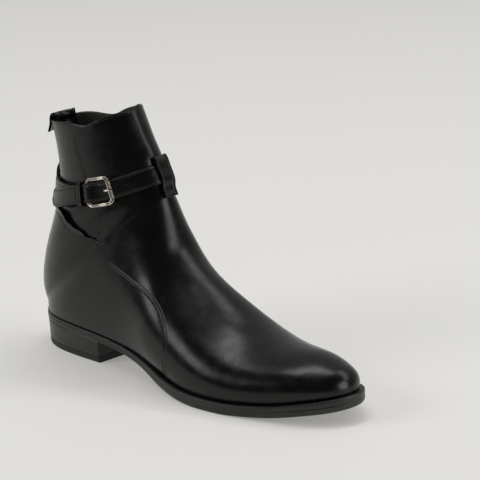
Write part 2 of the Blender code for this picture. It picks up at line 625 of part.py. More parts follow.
def tube(name, points, radius, closed, sides=8):
    """Round wire along a path."""
    points = np.asarray(points, float)
    count = len(points)
    rings = []
    ahead = np.roll(points, -1, 0) - np.roll(points, 1, 0)
    if not closed:
        ahead[0], ahead[-1] = points[1] - points[0], points[-1] - points[-2]
    normal = np.cross(ahead[0], [0.3, 0.5, 0.8])
    for p, d in zip(points, ahead):
        d = d / np.linalg.norm(d)
        normal = normal - d * normal.dot(d)
        normal /= np.linalg.norm(normal)
        other = np.cross(d, normal)
        turn = [2 * math.pi * i / sides for i in range(sides)]
        rings.append(np.stack([p + radius * (math.cos(a) * normal + math.sin(a) * other) for a in turn]))
    faces = []
    for r in range(count if closed else count - 1):
        a, b = r * sides, (r + 1) % count * sides
        faces += [(a + i, a + (i + 1) % sides, b + (i + 1) % sides, b + i) for i in range(sides)]
    if not closed:
        end = (count - 1) * sides
        faces += [tuple(range(sides))[::-1], tuple(end + i for i in range(sides))]
    return make_node(name, np.concatenate(rings), faces, 60)


def build_buckle():
    """Frame under the strap at its bar and over it at its end, and the prong through the strap."""
    bar = WIRE / 2 + GAP + STRAP_LEATHER
    over = 2 * STRAP_LEATHER + LAYER_GAP + GAP + WIRE / 2 + 0.3
    reach, half, corner = FRAME_WIDTH / 2, FRAME_LENGTH / 2, 3.2
    points = []
    for cx, cy, first in ((1, 1, 0), (-1, 1, 90), (-1, -1, 180), (1, -1, 270)):
        for a in np.radians(np.linspace(first, first + 90, 6)):
            along = cx * (half - corner) + corner * math.cos(a)
            across = cy * (reach - corner) + corner * math.sin(a)
            t = along / FRAME_LENGTH + 0.5
            rise = bar + (over - bar) * ease(t / 0.75)
            share = BAR_SHARE + (FRAME_END - BAR_SHARE) * t
            points.append(strap_frame(np.array(share), np.array(across), np.array(rise)))
    tube('buckle_frame', points, WIRE / 2, True)
    under = STRAP_LEATHER * 0.55
    steps = [(STRAP_START + 0.002, under), (HOLE_SHARE - 0.020, under), (HOLE_SHARE - 0.005, under + 0.15),
             (HOLE_SHARE - 0.0005, under + 1.0), (HOLE_SHARE, under + 2.0), (HOLE_SHARE, under + 3.4),
             (HOLE_SHARE + 0.002, under + 4.6), (HOLE_SHARE + 0.008, over + WIRE - 0.3),
             (FRAME_END - 0.002, over + WIRE + 0.2), (FRAME_END + 0.003, over + WIRE + 0.15)]
    points = [strap_frame(np.array(s), np.array(0.0), np.array(r)) for s, r in steps]
    tube('buckle_prong', points, PRONG_WIRE / 2, False)


def build_keeper():
    """Loop round both layers of the strap behind the buckle."""
    low, high = -GAP - 0.1, 2 * STRAP_LEATHER + LAYER_GAP + GAP + 0.2
    inner, slip = STRAP_WIDTH / 2 + GAP + 0.5, 0.4
    thick, corner, half = 1.1, 0.6, KEEPER_WIDTH / 2 * (FRAME_END - BAR_SHARE) / FRAME_LENGTH
    rings = []
    for grow, end in ((0, -1), (0, 1), (thick, 1), (thick, -1)):
        path = []
        for cx, cy in ((1, 1), (-1, 1), (-1, -1), (1, -1)):
            for k in range(3):
                a = math.atan2(cy, cx) + math.radians((k - 1) * 40)
                across = cx * (inner - corner) - slip + (corner + grow) * math.cos(a)
                rise = (high if cy > 0 else low) - cy * corner + (corner + grow) * math.sin(a)
                share = np.array(KEEPER_SHARE + end * half)
                path.append(strap_frame(share, np.array(across), np.array(rise)))
        rings.append(np.stack(path))
    return make_node('strap_keeper', *stack(rings, True), 50)


def strip_on_line(name, line, girth, width):
    """Narrow strip along the front or back of the ankle; line holds run and distance of its inner face."""
    at = np.linspace(0, 1, len(line))
    stations = np.linspace(0, 1, 2 * len(line) + 1)

    def place(s, across, rise):
        run, clear = float(spline(at, column(line, 0), s)), float(even(at, column(line, 1), s))
        return last(run, girth) + outward(run, girth) * (clear + rise) + np.array([0, across, 0])
    return make_node(name, *ribbon(band(place, stations, width, LOOP_LEATHER)), 60)


def build_loops():
    strip_on_line('front_loop', FRONT_LOOP, FRONT_LOOP_GIRTH, FRONT_LOOP_WIDTH)
    strip_on_line('back_loop', BACK_LOOP, 0.0, BACK_LOOP_WIDTH)


def build_pull():
    """Strap folded over the back of the collar, its outer end standing off."""
    top = TOP_EDGE[0][1]
    inside = WALL + LAP + 2.5 * GAP
    grids = []
    for thick in (0.0, LOOP_LEATHER):
        columns = []
        for c in np.linspace(-1, 1, 7):
            girth = -c * PULL_SPAN % 1.0
            n = outward(top, girth)
            flat = np.array([n[0], n[1], 0]) / math.hypot(n[0], n[1])
            path = [lifted(run, girth, np.array(-inside - thick)) for run in (*PULL_INSIDE, top - 1)]
            crown = last(top, girth)
            reach_in, reach_out = inside + thick, GAP + 0.9 - LAP + thick
            middle, radius = (reach_out - reach_in) / 2, (reach_out + reach_in) / 2
            for a in np.radians([165, 130, 95, 60, 25]):
                rise = np.array([0, 0, 2.4 + (radius + 0.4) * math.sin(a)])
                path.append(crown + flat * (middle + radius * math.cos(a)) + rise)
            for drop, flare in PULL_OUTSIDE:
                path.append(crown + flat * (reach_out + flare) - np.array([0, 0, drop]))
            columns.append(np.stack(path))
        grids.append(np.stack(columns, 1))
    return sheet('pull_loop', *grids)


def punch(strap):
    """Round hole for the prong."""
    points = [strap_frame(np.array(HOLE_SHARE), np.array(0.0), np.array(rise)) for rise in (-1.8, 9.0)]
    cutter = tube('hole_cutter', points, HOLE / 2, False, 16)
    cutter.hide_render = True
    cutter.display_type = 'WIRE'
    cut = strap.modifiers.new('hole', 'BOOLEAN')
    cut.operation, cut.solver, cut.object = 'DIFFERENCE', 'EXACT', cutter


def main():
    for obj in list(bpy.data.objects):
        bpy.data.objects.remove(obj)
    build_outsole()
    build_welt()
    build_insole()
    build_heel()
    build_upper()
    build_quarter()
    punch(build_strap())
    build_buckle()
    build_keeper()
    build_loops()
    build_pull()


main()
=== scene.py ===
import math

import bmesh
import bpy
import numpy as np
from mathutils import Matrix, Quaternion, Vector


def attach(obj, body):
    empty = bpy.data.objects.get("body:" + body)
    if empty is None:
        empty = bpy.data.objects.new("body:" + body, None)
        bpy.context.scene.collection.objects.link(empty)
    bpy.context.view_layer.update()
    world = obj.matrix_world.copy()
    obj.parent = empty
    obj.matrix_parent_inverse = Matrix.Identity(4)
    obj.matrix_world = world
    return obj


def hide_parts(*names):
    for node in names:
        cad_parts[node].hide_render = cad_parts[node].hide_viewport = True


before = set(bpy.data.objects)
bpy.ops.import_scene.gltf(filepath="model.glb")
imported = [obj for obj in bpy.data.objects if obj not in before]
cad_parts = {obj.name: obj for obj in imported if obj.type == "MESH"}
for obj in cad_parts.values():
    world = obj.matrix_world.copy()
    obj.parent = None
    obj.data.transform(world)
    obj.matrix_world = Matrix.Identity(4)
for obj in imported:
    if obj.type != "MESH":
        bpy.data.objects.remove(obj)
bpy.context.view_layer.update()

# Floor, lamps and camera
# A plain pale floor that fills the view, soft lamps round the boot, and the camera at the
# photograph's angle to it.
bpy.ops.mesh.primitive_plane_add(size=12.0)
ground = bpy.context.object
ground.name = "ground"
paper = bpy.data.materials.new("pale_floor")
paper.use_nodes = True
paper_shader = paper.node_tree.nodes["Principled BSDF"]
paper_shader.inputs["Base Color"].default_value = (0.70, 0.69, 0.665, 1)
paper_shader.inputs["Emission Color"].default_value = (1.0, 0.985, 0.955, 1)
paper_shader.inputs["Emission Strength"].default_value = 0.26
paper_shader.inputs["Roughness"].default_value = 0.6
paper_shader.inputs["Specular IOR Level"].default_value = 0.2
ground.data.materials.append(paper)


def softbox(name, place, wide, high, turn, watts):
    """Rectangular lamp that faces the boot, turned about its own axis."""
    light = bpy.data.lights.new(name, "AREA")
    light.shape = "RECTANGLE"
    light.size, light.size_y, light.energy, light.color = wide, high, watts, LAMP_COLOUR
    lamp = bpy.data.objects.new(name, light)
    lamp.location = place
    facing = (Vector(BOOT_MIDDLE) - Vector(place)).to_track_quat("-Z", "Y")
    lamp.rotation_euler = (facing @ Quaternion((0, 0, 1), math.radians(turn))).to_euler()
    bpy.context.scene.collection.objects.link(lamp)


BOOT_MIDDLE, LAMP_COLOUR = (0.12, 0.0, 0.1), (1.0, 0.995, 0.985)
softbox("lamp_above", (-0.42, 0.16, 3.3), 2.4, 0.7, 0, 29)
softbox("lamp_right", (2.56, 0.65, 0.73), 1.1, 1.2, 0, 17)
softbox("lamp_far", (1.28, 1.58, 2.09), 0.6, 2.6, -45, 15)
softbox("lamp_left", (-1.23, -1.86, 1.32), 1.3, 0.9, 0, 18)


def feed(tree, socket, value):
    """Gives a socket a plain value or another socket's result."""
    if isinstance(value, bpy.types.NodeSocket):
        tree.links.new(value, socket)
    else:
        socket.default_value = value


def range_of(tree, value, start, stop, low=0.0, high=1.0, kind="LINEAR"):
    """Maps one span of values to another."""
    span = tree.nodes.new("ShaderNodeMapRange")
    span.interpolation_type = kind
    limits = (("From Min", start), ("From Max", stop), ("To Min", low), ("To Max", high), ("Value", value))
    for label, limit in limits:
        feed(tree, span.inputs[label], limit)
    return span.outputs["Result"]


# Far wall pale, room in front of the boot dark
world = bpy.data.worlds.new("studio")
world.use_nodes = True
sky = world.node_tree
way = sky.nodes.new("ShaderNodeTexCoord")
toward = sky.nodes.new("ShaderNodeVectorMath")
toward.operation = "DOT_PRODUCT"
toward.inputs[1].default_value = (-0.66, 0.70, 0.28)
sky.links.new(way.outputs["Generated"], toward.inputs[0])
strength = range_of(sky, toward.outputs["Value"], -0.1, 0.85, 0.05, 0.38, "SMOOTHSTEP")
sky.links.new(strength, sky.nodes["Background"].inputs["Strength"])
sky.nodes["Background"].inputs["Color"].default_value = (0.97, 0.99, 0.97, 1)
bpy.context.scene.world = world
bpy.context.scene.view_settings.view_transform = "Standard"

TURN, RISE, ROLL = math.radians(42.056), math.radians(17.071), math.radians(-1.158)
AIM, DISTANCE, LENS, SENSOR = Vector((0.16011, 0.0, 0.11463)), 1.45943, 151.303, 36.0
back = Vector((math.sin(TURN) * math.cos(RISE), -math.cos(TURN) * math.cos(RISE), math.sin(RISE)))
level = (-back).cross(Vector((0, 0, 1))).normalized()
upward = level.cross(-back)
right = level * math.cos(ROLL) + upward * math.sin(ROLL)
upright = upward * math.cos(ROLL) - level * math.sin(ROLL)
camera = bpy.data.objects.new("camera", bpy.data.cameras.new("camera"))
facing = Matrix((right, upright, back)).transposed().to_4x4()
camera.matrix_world = Matrix.Translation(AIM + back * DISTANCE) @ facing
camera.data.lens, camera.data.sensor_width = LENS, SENSOR
bpy.context.scene.collection.objects.link(camera)
bpy.context.scene.camera = camera

# Outsole
# The leather sole that the boot stands on: arched at the waist, sprung at the toe, its edge
# trimmed round, dyed and waxed.
# Sizes are in millimetres from the back of the heel; the shared origin is under its middle.
REST_X, MM = 39.25, 0.001
SOLE_LENGTH, BALL_WIDTH, TOE_SWING = 306.0, 100.0, 2.9
HEEL_HEIGHT, TOE_SPRING = 21.3, 11.9
OUTSOLE_HEEL, OUTSOLE_TREAD = 3.9, 4.9
# Edge: share of length, half width to the outer and to the inner side as shares of ball width
OUTLINE = [
    (0.000, 0.000, 0.000), (0.022, 0.150, 0.150), (0.070, 0.255, 0.255), (0.140, 0.302, 0.302),
    (0.240, 0.314, 0.286), (0.380, 0.329, 0.228), (0.500, 0.440, 0.272), (0.600, 0.516, 0.406),
    (0.680, 0.519, 0.467), (0.770, 0.472, 0.441), (0.860, 0.390, 0.362), (0.930, 0.297, 0.271),
    (0.980, 0.178, 0.158), (1.000, 0.000, 0.000),
]
# Underside: share of length, share of heel height, share of toe spring
UNDERSIDE = [
    (0.000, 1.000, 0.000), (0.220, 0.860, 0.000), (0.320, 0.704, 0.000), (0.420, 0.460, 0.000),
    (0.520, 0.160, 0.000), (0.600, 0.028, 0.000), (0.645, 0.000, 0.000), (0.720, 0.000, 0.000),
    (0.760, 0.000, 0.058), (0.840, 0.000, 0.258), (0.920, 0.000, 0.618), (1.000, 0.000, 1.000),
]
# Profile of the trimmed edge: share of thickness, inset
OUTSOLE_EDGE = [(0.0, 0.9), (0.12, 0.35), (0.35, 0.05), (0.6, 0.0), (0.85, 0.08), (1.0, 0.22)]


def hermite(k, v, d, at):
    """Cubic through knots k with values v and slopes d."""
    x = np.clip(np.asarray(at, float), k[0], k[-1])
    j = np.clip(np.searchsorted(k, x, side="right") - 1, 0, len(k) - 2)
    h = k[j + 1] - k[j]
    t = (x - k[j]) / h
    return ((2 * t ** 3 - 3 * t ** 2 + 1) * v[j] + (t ** 3 - 2 * t ** 2 + t) * h * d[j]
            + (3 * t ** 2 - 2 * t ** 3) * v[j + 1] + (t ** 3 - t ** 2) * h * d[j + 1])


def spline(knots, values, at, ends=(None, None)):
    """Smooth cubic through the knots, with given or free end slopes."""
    k, v = np.asarray(knots, float), np.asarray(values, float)
    n, h = len(k), np.diff(k)
    m, r = np.zeros((n, n)), np.zeros(n)
    for i in range(1, n - 1):
        m[i, i - 1:i + 2] = 1 / h[i - 1], 2 * (1 / h[i - 1] + 1 / h[i]), 1 / h[i]
        r[i] = 3 * ((v[i] - v[i - 1]) / h[i - 1] ** 2 + (v[i + 1] - v[i]) / h[i] ** 2)
    for i, near, step, end in ((0, 1, h[0], ends[0]), (n - 1, n - 2, h[-1], ends[1])):
        m[i, i], r[i] = 1, end or 0.0
        if end is None:
            m[i, i], m[i, near], r[i] = 2, 1, 3 * (v[i] - v[near]) / step * np.sign(i - near)
    return hermite(k, v, np.linalg.solve(m, r), at)


def even(knots, values, at):
    """Curve through the knots that never overshoots them."""
    k, v = np.asarray(knots, float), np.asarray(values, float)
    s = np.diff(v) / np.diff(k)
    d = np.zeros(len(k))
    both = s[:-1] * s[1:] > 0
    d[1:-1][both] = 2 * s[:-1][both] * s[1:][both] / (s[:-1] + s[1:])[both]
    d[0], d[-1] = s[0], s[-1]
    return hermite(k, v, d, at)


def column(table, i):
    return [row[i] for row in table]


def ease(t):
    t = np.clip(t, 0, 1)
    return t * t * (3 - 2 * t)


def underside(x):
    rise = [HEEL_HEIGHT * row[1] + TOE_SPRING * row[2] for row in UNDERSIDE]
    return even([row[0] * SOLE_LENGTH for row in UNDERSIDE], rise, x)


def tread_share(x):
    return ease((np.asarray(x) / SOLE_LENGTH - 0.35) / 0.2)


def outsole_top(x):
    return underside(x) + OUTSOLE_HEEL + (OUTSOLE_TREAD - OUTSOLE_HEEL) * tread_share(x)


def swing(x):
    return TOE_SWING * np.clip((np.asarray(x) / SOLE_LENGTH - 0.68) / 0.32, 0, 1) ** 1.5


def side_curve(side, inset, count):
    """Half outline from heel back to toe tip, moved in by a distance or a function of x."""
    knots = np.array([(row[0] * SOLE_LENGTH, row[1 + side] * BALL_WIDTH) for row in OUTLINE])
    run = np.r_[0, np.cumsum(np.hypot(*np.diff(knots, axis=0).T))]
    at = run[-1] * (1 - np.cos(np.linspace(0, math.pi, count))) / 2
    at = 0.55 * at + 0.45 * np.linspace(0, run[-1], count)
    x, y = spline(run, knots[:, 0], at, (0.0, 0.0)), spline(run, knots[:, 1], at, (1.0, -1.0))
    tx, ty = np.gradient(x), np.gradient(y)
    tx[[0, -1]] = 0
    size = np.hypot(tx, ty)
    d = inset(x) if callable(inset) else inset
    px, py = x + d * ty / size, y - d * tx / size
    py[[0, -1]] = 0
    return px, np.maximum(py, 0)


def block(along, across, levels=1):
    """Grid of quads extruded to a closed block, with each vertex's place along, across and up."""
    bm = bmesh.new()
    bmesh.ops.create_grid(bm, x_segments=along, y_segments=across, size=0.5)
    raised = bmesh.ops.extrude_face_region(bm, geom=list(bm.faces))["geom"]
    bmesh.ops.translate(bm, verts=[g for g in raised if isinstance(g, bmesh.types.BMVert)], vec=(0, 0, 1))
    if levels > 1:
        walls = [e for e in bm.edges if abs(e.verts[0].co.z - e.verts[1].co.z) > 0.5]
        bmesh.ops.subdivide_edges(bm, edges=walls, cuts=levels - 1, use_grid_fill=True)
    at = (np.array([v.co for v in bm.verts]) + (0.5, 0.5, 0)) * (along, across, levels)
    return bm, *np.rint(at).astype(int).T


def settle(bm, points):
    """Puts each vertex at its point, given in millimetres from the back of the heel."""
    for v, p in zip(bm.verts, points):
        v.co = ((p[0] - REST_X) * MM, p[1] * MM, p[2] * MM)


def soften(bm, radius, rim):
    """Rounds the edges whose two vertices both belong to the rim, given as sets of vertex flags."""
    bm.verts.index_update()
    edges = [e for e in bm.edges if any(s[e.verts[0].index] and s[e.verts[1].index] for s in rim)]
    bmesh.ops.bevel(bm, geom=edges, offset=radius * MM, segments=3, profile=0.5, affect="EDGES",
                    material=-1)


def piece(bm, name, material, slot, *nodes):
    """Finished mesh object that rides on the boot and stands for its nodes."""
    bmesh.ops.remove_doubles(bm, verts=bm.verts, dist=2e-6)
    bmesh.ops.recalc_face_normals(bm, faces=bm.faces)
    mesh = bpy.data.meshes.new(name)
    bm.to_mesh(mesh)
    bm.free()
    mesh.materials.append(material)
    mesh.shade_smooth()
    obj = bpy.data.objects.new(name, mesh)
    bpy.context.scene.collection.objects.link(obj)
    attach(obj, "root")
    if nodes:
        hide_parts(*nodes)
    return obj


def between(sides, k, i, v):
    """Places at a share v of the way from the outer to the inner outline."""
    x = (1 - v) * sides[k, 0, 0, i] + v * sides[k, 1, 0, i]
    return x, -(1 - v) * sides[k, 0, 1, i] + v * sides[k, 1, 1, i]


def slab(along, across, edge, low, high):
    """Block in the outline of the sole, its side following an edge profile between two heights."""
    levels = 12
    share = np.linspace(0, 1, levels + 1)
    inset = even(column(edge, 0), column(edge, 1), share)
    sides = [[side_curve(side, (lambda x, d=d: d + 0 * x), along + 1) for side in (0, 1)] for d in inset]
    bm, i, j, k = block(along, across, levels)
    x, y = between(np.array(sides), k, i, j / across)
    settle(bm, np.stack([x, y + swing(x), low(x) + (high(x) - low(x)) * share[k]], -1))
    return bm


def shader_of(name, colour, rough):
    """Node material with one Principled shader."""
    mat = bpy.data.materials.new(name)
    mat.use_nodes = True
    shader = mat.node_tree.nodes["Principled BSDF"]
    shader.inputs["Base Color"].default_value = (*colour, 1)
    shader.inputs["Roughness"].default_value = rough
    return mat, shader, mat.node_tree


def noise_of(tree, scale, detail, stretch=(1, 1, 1)):
    """Noise on Object coordinates, scale in waves a metre."""
    coords = tree.nodes.new("ShaderNodeTexCoord")
    mapping = tree.nodes.new("ShaderNodeMapping")
    noise = tree.nodes.new("ShaderNodeTexNoise")
    feed(tree, mapping.inputs["Scale"], stretch)
    feed(tree, noise.inputs["Scale"], scale)
    feed(tree, noise.inputs["Detail"], detail)
    tree.links.new(coords.outputs["Object"], mapping.inputs["Vector"])
    tree.links.new(mapping.outputs["Vector"], noise.inputs["Vector"])
    return noise.outputs["Fac"]


def spread(tree, value, low, high):
    """Stretches the middle of a noise to a range of values."""
    return range_of(tree, value, 0.3, 0.7, low, high)


def blend_of(tree, share, first, second):
    """Mix of two colours."""
    mix = tree.nodes.new("ShaderNodeMix")
    mix.data_type = "RGBA"
    feed(tree, mix.inputs["A"], first)
    feed(tree, mix.inputs["B"], second)
    tree.links.new(share, mix.inputs["Factor"])
    return mix.outputs["Result"]


def bump_of(tree, height, depth, below=None):
    """Bump of a depth in metres, on top of another one."""
    bump = tree.nodes.new("ShaderNodeBump")
    bump.inputs["Strength"].default_value = 1.0
    feed(tree, bump.inputs["Distance"], depth)
    tree.links.new(height, bump.inputs["Height"])
    if below:
        tree.links.new(below, bump.inputs["Normal"])
    return bump.outputs["Normal"]


def group_of(name, takes, gives):
    """Node group with named inputs and outputs of the given kinds."""
    group = bpy.data.node_groups.new(name, "ShaderNodeTree")
    for way, sockets in (("INPUT", takes), ("OUTPUT", gives)):
        for label, kind in sockets:
            group.interface.new_socket(label, in_out=way, socket_type="NodeSocket" + kind)
    return group, group.nodes.new("NodeGroupInput").outputs, group.nodes.new("NodeGroupOutput").inputs


def placed(tree, group, *values):
    """A node group in a material, with that material's own values in the order of its inputs."""
    node = tree.nodes.new("ShaderNodeGroup")
    node.node_tree = group
    for socket, value in zip(node.inputs, values):
        socket.default_value = value
    return node.outputs


# Worn surface: broad patches turn one colour to another, and fine marks change the polish
worn_surface, takes, gives = group_of("worn_surface", [
    ("Patch Scale", "Float"), ("Patch Detail", "Float"), ("Mark Scale", "Float"), ("Mark Detail", "Float"),
    ("Mark Stretch", "Vector"), ("First Color", "Color"), ("Second Color", "Color"),
    ("Low Roughness", "Float"), ("High Roughness", "Float")],
    [("Color", "Color"), ("Roughness", "Float"), ("Marks", "Float")])
patches = noise_of(worn_surface, takes["Patch Scale"], takes["Patch Detail"])
marks = noise_of(worn_surface, takes["Mark Scale"], takes["Mark Detail"], takes["Mark Stretch"])
tint = blend_of(worn_surface, spread(worn_surface, patches, 0, 1),
                takes["First Color"], takes["Second Color"])
worn_surface.links.new(tint, gives["Color"])
polish = spread(worn_surface, marks, takes["Low Roughness"], takes["High Roughness"])
worn_surface.links.new(polish, gives["Roughness"])
worn_surface.links.new(marks, gives["Marks"])


def worn(name, colour, rough, depth, *values, below=None):
    """Material with a worn surface, its marks sunk by a depth in millimetres."""
    mat, shader, tree = shader_of(name, colour, rough)
    surface = placed(tree, worn_surface, *values)
    tree.links.new(surface["Color"], shader.inputs["Base Color"])
    tree.links.new(surface["Roughness"], shader.inputs["Roughness"])
    low = below(tree) if below else None
    tree.links.new(bump_of(tree, surface["Marks"], depth * MM, low), shader.inputs["Normal"])
    return mat


# Trimmed sole leather, dyed black and waxed, with faint fibres along it
EDGE_DARK, EDGE_PALE = (0.007, 0.006, 0.005, 1), (0.014, 0.012, 0.010, 1)
sole_leather = worn("sole_leather", (0.02, 0.018, 0.016), 0.38, 0.02,
                    60, 3, 900, 4, (0.25, 0.25, 1.6), EDGE_DARK, EDGE_PALE, 0.33, 0.46)
outsole = slab(200, 24, OUTSOLE_EDGE, underside, outsole_top)
piece(outsole, "sole_outsole", sole_leather, "sole_leather", "outsole")

# Welt
# The strip between outsole and upper, thicker round the toe. Its edge runs flush with the
# outsole's, and its top shows as a narrow ledge with a row of dark stitches.
WELT_GAP = 0.3
WELT_HEEL, WELT_TREAD, WELT_TOE = 1.65, 3.1, 1.0
WELT_EDGE = [(0.0, 0.2), (0.25, 0.08), (0.7, 0.12), (0.85, 0.25), (0.95, 0.5), (1.0, 0.85)]
# Feather line, where the upper meets the welt: share of length, inset from the sole edge
FEATHER = [(0.0, 0.0), (0.3, 0.5), (0.42, 1.4), (0.55, 3.4), (0.8, 4.0), (1.0, 4.2)]


def welt_top(x):
    toe = ease((np.asarray(x) / SOLE_LENGTH - 0.82) / 0.18)
    thick = WELT_HEEL + (WELT_TREAD - WELT_HEEL) * tread_share(x) + WELT_TOE * toe
    return outsole_top(x) + WELT_GAP + thick


def feather_height(x):
    return welt_top(x) + WELT_GAP


def feather_inset(x):
    return even([row[0] * SOLE_LENGTH for row in FEATHER], column(FEATHER, 1), x)


piece(slab(200, 24, WELT_EDGE, outsole_top, welt_top), "sole_welt", sole_leather, "sole_leather", "welt")


def sew(bm, points, outs, pitch=2.2, length=1.5, width=0.6, sink=0.06):
    """One short sunk thread at each pitch along a line of points with outward directions."""
    run = np.r_[0, np.cumsum(np.linalg.norm(np.diff(points, axis=0), axis=1))]
    at = np.arange(0.5 * pitch, run[-1], pitch)
    centres, ups = [np.stack([np.interp(at, run, line[:, i]) for i in range(3)], -1)
                    for line in (points, outs)]
    ahead = np.gradient(centres, axis=0) if len(centres) > 1 else np.array([[1.0, 0, 0]])
    for c, d, up in zip(centres, ahead, ups):
        up = Vector(up).normalized()
        d = (Vector(d) - up * Vector(d).dot(up)).normalized()
        c = Vector(c) - up * sink - Vector((REST_X, 0, 0))
        turn = Matrix((d * length / 2, up.cross(d) * width / 2, up * width / 2)).transposed().to_4x4()
        place = Matrix.Translation(c * MM) @ Matrix.Scale(MM, 4) @ turn
        bmesh.ops.create_uvsphere(bm, u_segments=6, v_segments=5, radius=1.0, matrix=place)


def thread_of(name, colour, rough):
    """Waxed twisted thread."""
    mat, shader, tree = shader_of(name, colour, rough)
    twist = noise_of(tree, 2500, 2)
    tree.links.new(bump_of(tree, twist, 0.05 * MM), shader.inputs["Normal"])
    tree.links.new(spread(tree, twist, rough - 0.08, rough + 0.08), shader.inputs["Roughness"])
    return mat


black_thread = thread_of("black_thread", (0.022, 0.022, 0.023), 0.45)
WELT_STITCH = 1.9
ledge = bmesh.new()
for side, sign in ((0, -1), (1, 1)):
    x, y = side_curve(side, WELT_STITCH, 400)
    keep = x > 0.3 * SOLE_LENGTH
    x, y = x[keep], y[keep]
    line = np.stack([x, sign * y + swing(x), welt_top(x)], -1)
    sew(ledge, line, np.tile([0, 0, 1.0], (len(line), 1)), 3.0, 2.2, 0.7, 0.1)
piece(ledge, "welt_stitches", black_thread, "sole_leather")

# Heel
# Leather lifts pressed, trimmed and waxed as one block, cut square at the breast, with a
# rubber lift under it.
HEEL_LENGTH, BREAST_SKEW, LIFT_HEIGHT = 78.5, 4.0, 5.6
HEEL_EDGE = [(0.0, 1.15), (0.5, 0.8), (0.9, 0.5), (1.0, 0.55)]
LIFT_EDGE = [(0.0, 2.1), (0.08, 1.6), (0.2, 1.4), (0.9, 1.2), (1.0, 1.35)]


def heel_block(along, across, edge, low, high, levels):
    """Block in the outline of the heel, square at its breast."""
    share = np.linspace(0, 1, levels + 1)
    inset = even(column(edge, 0), column(edge, 1), share)
    sides = np.zeros((levels + 1, 2, 2, along + 1))
    for k, d in enumerate(inset):
        for side in (0, 1):
            x, y = side_curve(side, d, 400)
            arc = np.r_[0, np.cumsum(np.hypot(np.diff(x), np.diff(y)))]
            stop = np.interp(HEEL_LENGTH + (BREAST_SKEW if side else 0.0), x[:240], arc[:240])
            at = stop * np.linspace(0, 1, along + 1)
            sides[k, side] = np.interp(at, arc, x), np.interp(at, arc, y)
    bm, i, j, k = block(along, across, levels)
    x, y = between(sides, k, i, j / across)
    settle(bm, np.stack([x, y, low(x) + (high(x) - low(x)) * share[k]], -1))
    soften(bm, 0.5, [(i == along) & (j == 0), (i == along) & (j == across)])
    return bm


def math_of(tree, operation, value, number=0.0):
    """One step of arithmetic on a value."""
    node = tree.nodes.new("ShaderNodeMath")
    node.operation = operation
    node.inputs[1].default_value = number
    tree.links.new(value, node.inputs[0])
    return node.outputs["Value"]


def lift_joints(tree):
    """Faint level joints between the lifts."""
    coords = tree.nodes.new("ShaderNodeTexCoord")
    parts = tree.nodes.new("ShaderNodeSeparateXYZ")
    tree.links.new(coords.outputs["Object"], parts.inputs["Vector"])
    wave = math_of(tree, "PINGPONG", parts.outputs["Z"], LIFT_PITCH / 2 * MM)
    return bump_of(tree, range_of(tree, wave, 0.0, 0.2 * MM), 0.02 * MM)


LIFT_PITCH = 5.0
heel_leather = worn("heel_leather", (0.02, 0.018, 0.016), 0.36, 0.015,
                    70, 3, 900, 4, (0.3, 0.3, 1.8), EDGE_DARK, EDGE_PALE, 0.30, 0.42, below=lift_joints)
# Matt moulded rubber with fine pits
lift_rubber = worn("lift_rubber", (0.018, 0.018, 0.018), 0.55, 0.03,
                   90, 2, 1400, 3, (1, 1, 1), (0.007, 0.007, 0.007, 1), (0.013, 0.012, 0.012, 1), 0.5, 0.68)
lifts = heel_block(60, 24, HEEL_EDGE, lambda x: LIFT_HEIGHT + 0 * x, lambda x: underside(x) + 0.3, 10)
piece(lifts, "heel_lifts", heel_leather, "sole_leather", "heel_block")
wear = heel_block(60, 24, LIFT_EDGE, lambda x: 0 * x, lambda x: LIFT_HEIGHT - 0.05 + 0 * x, 8)
piece(wear, "heel_top_lift", lift_rubber, "lift_rubber", "top_lift")

# Insole
# Board and filler under a sock of thin leather, seen down the shaft.
INSOLE_BOARD, INSOLE_INSET = 2.6, 3.2


def sock_inset(x):
    return feather_inset(x) + INSOLE_INSET


# Plain dark lining leather with a fine grain
lining_leather = worn("lining_leather", (0.03, 0.027, 0.024), 0.55, 0.04, 40, 3, 1300, 3, (1, 1, 1),
                      (0.026, 0.023, 0.021, 1), (0.045, 0.040, 0.036, 1), 0.45, 0.6)
sides = np.array([[side_curve(side, sock_inset, 121) for side in (0, 1)]])
bm, i, j, k = block(120, 16)
x, y = between(sides, 0, i, j / 16)
settle(bm, np.stack([x, y + swing(x), feather_height(x) + INSOLE_BOARD * k], -1))
piece(bm, "insole_sock", lining_leather, "insole_leather", "insole")

# Lining
# One layer of dark lining leather inside the whole upper, trimmed just below the collar.
INSTEP_RISE, SHAFT_RISE = 85.0, 151.0
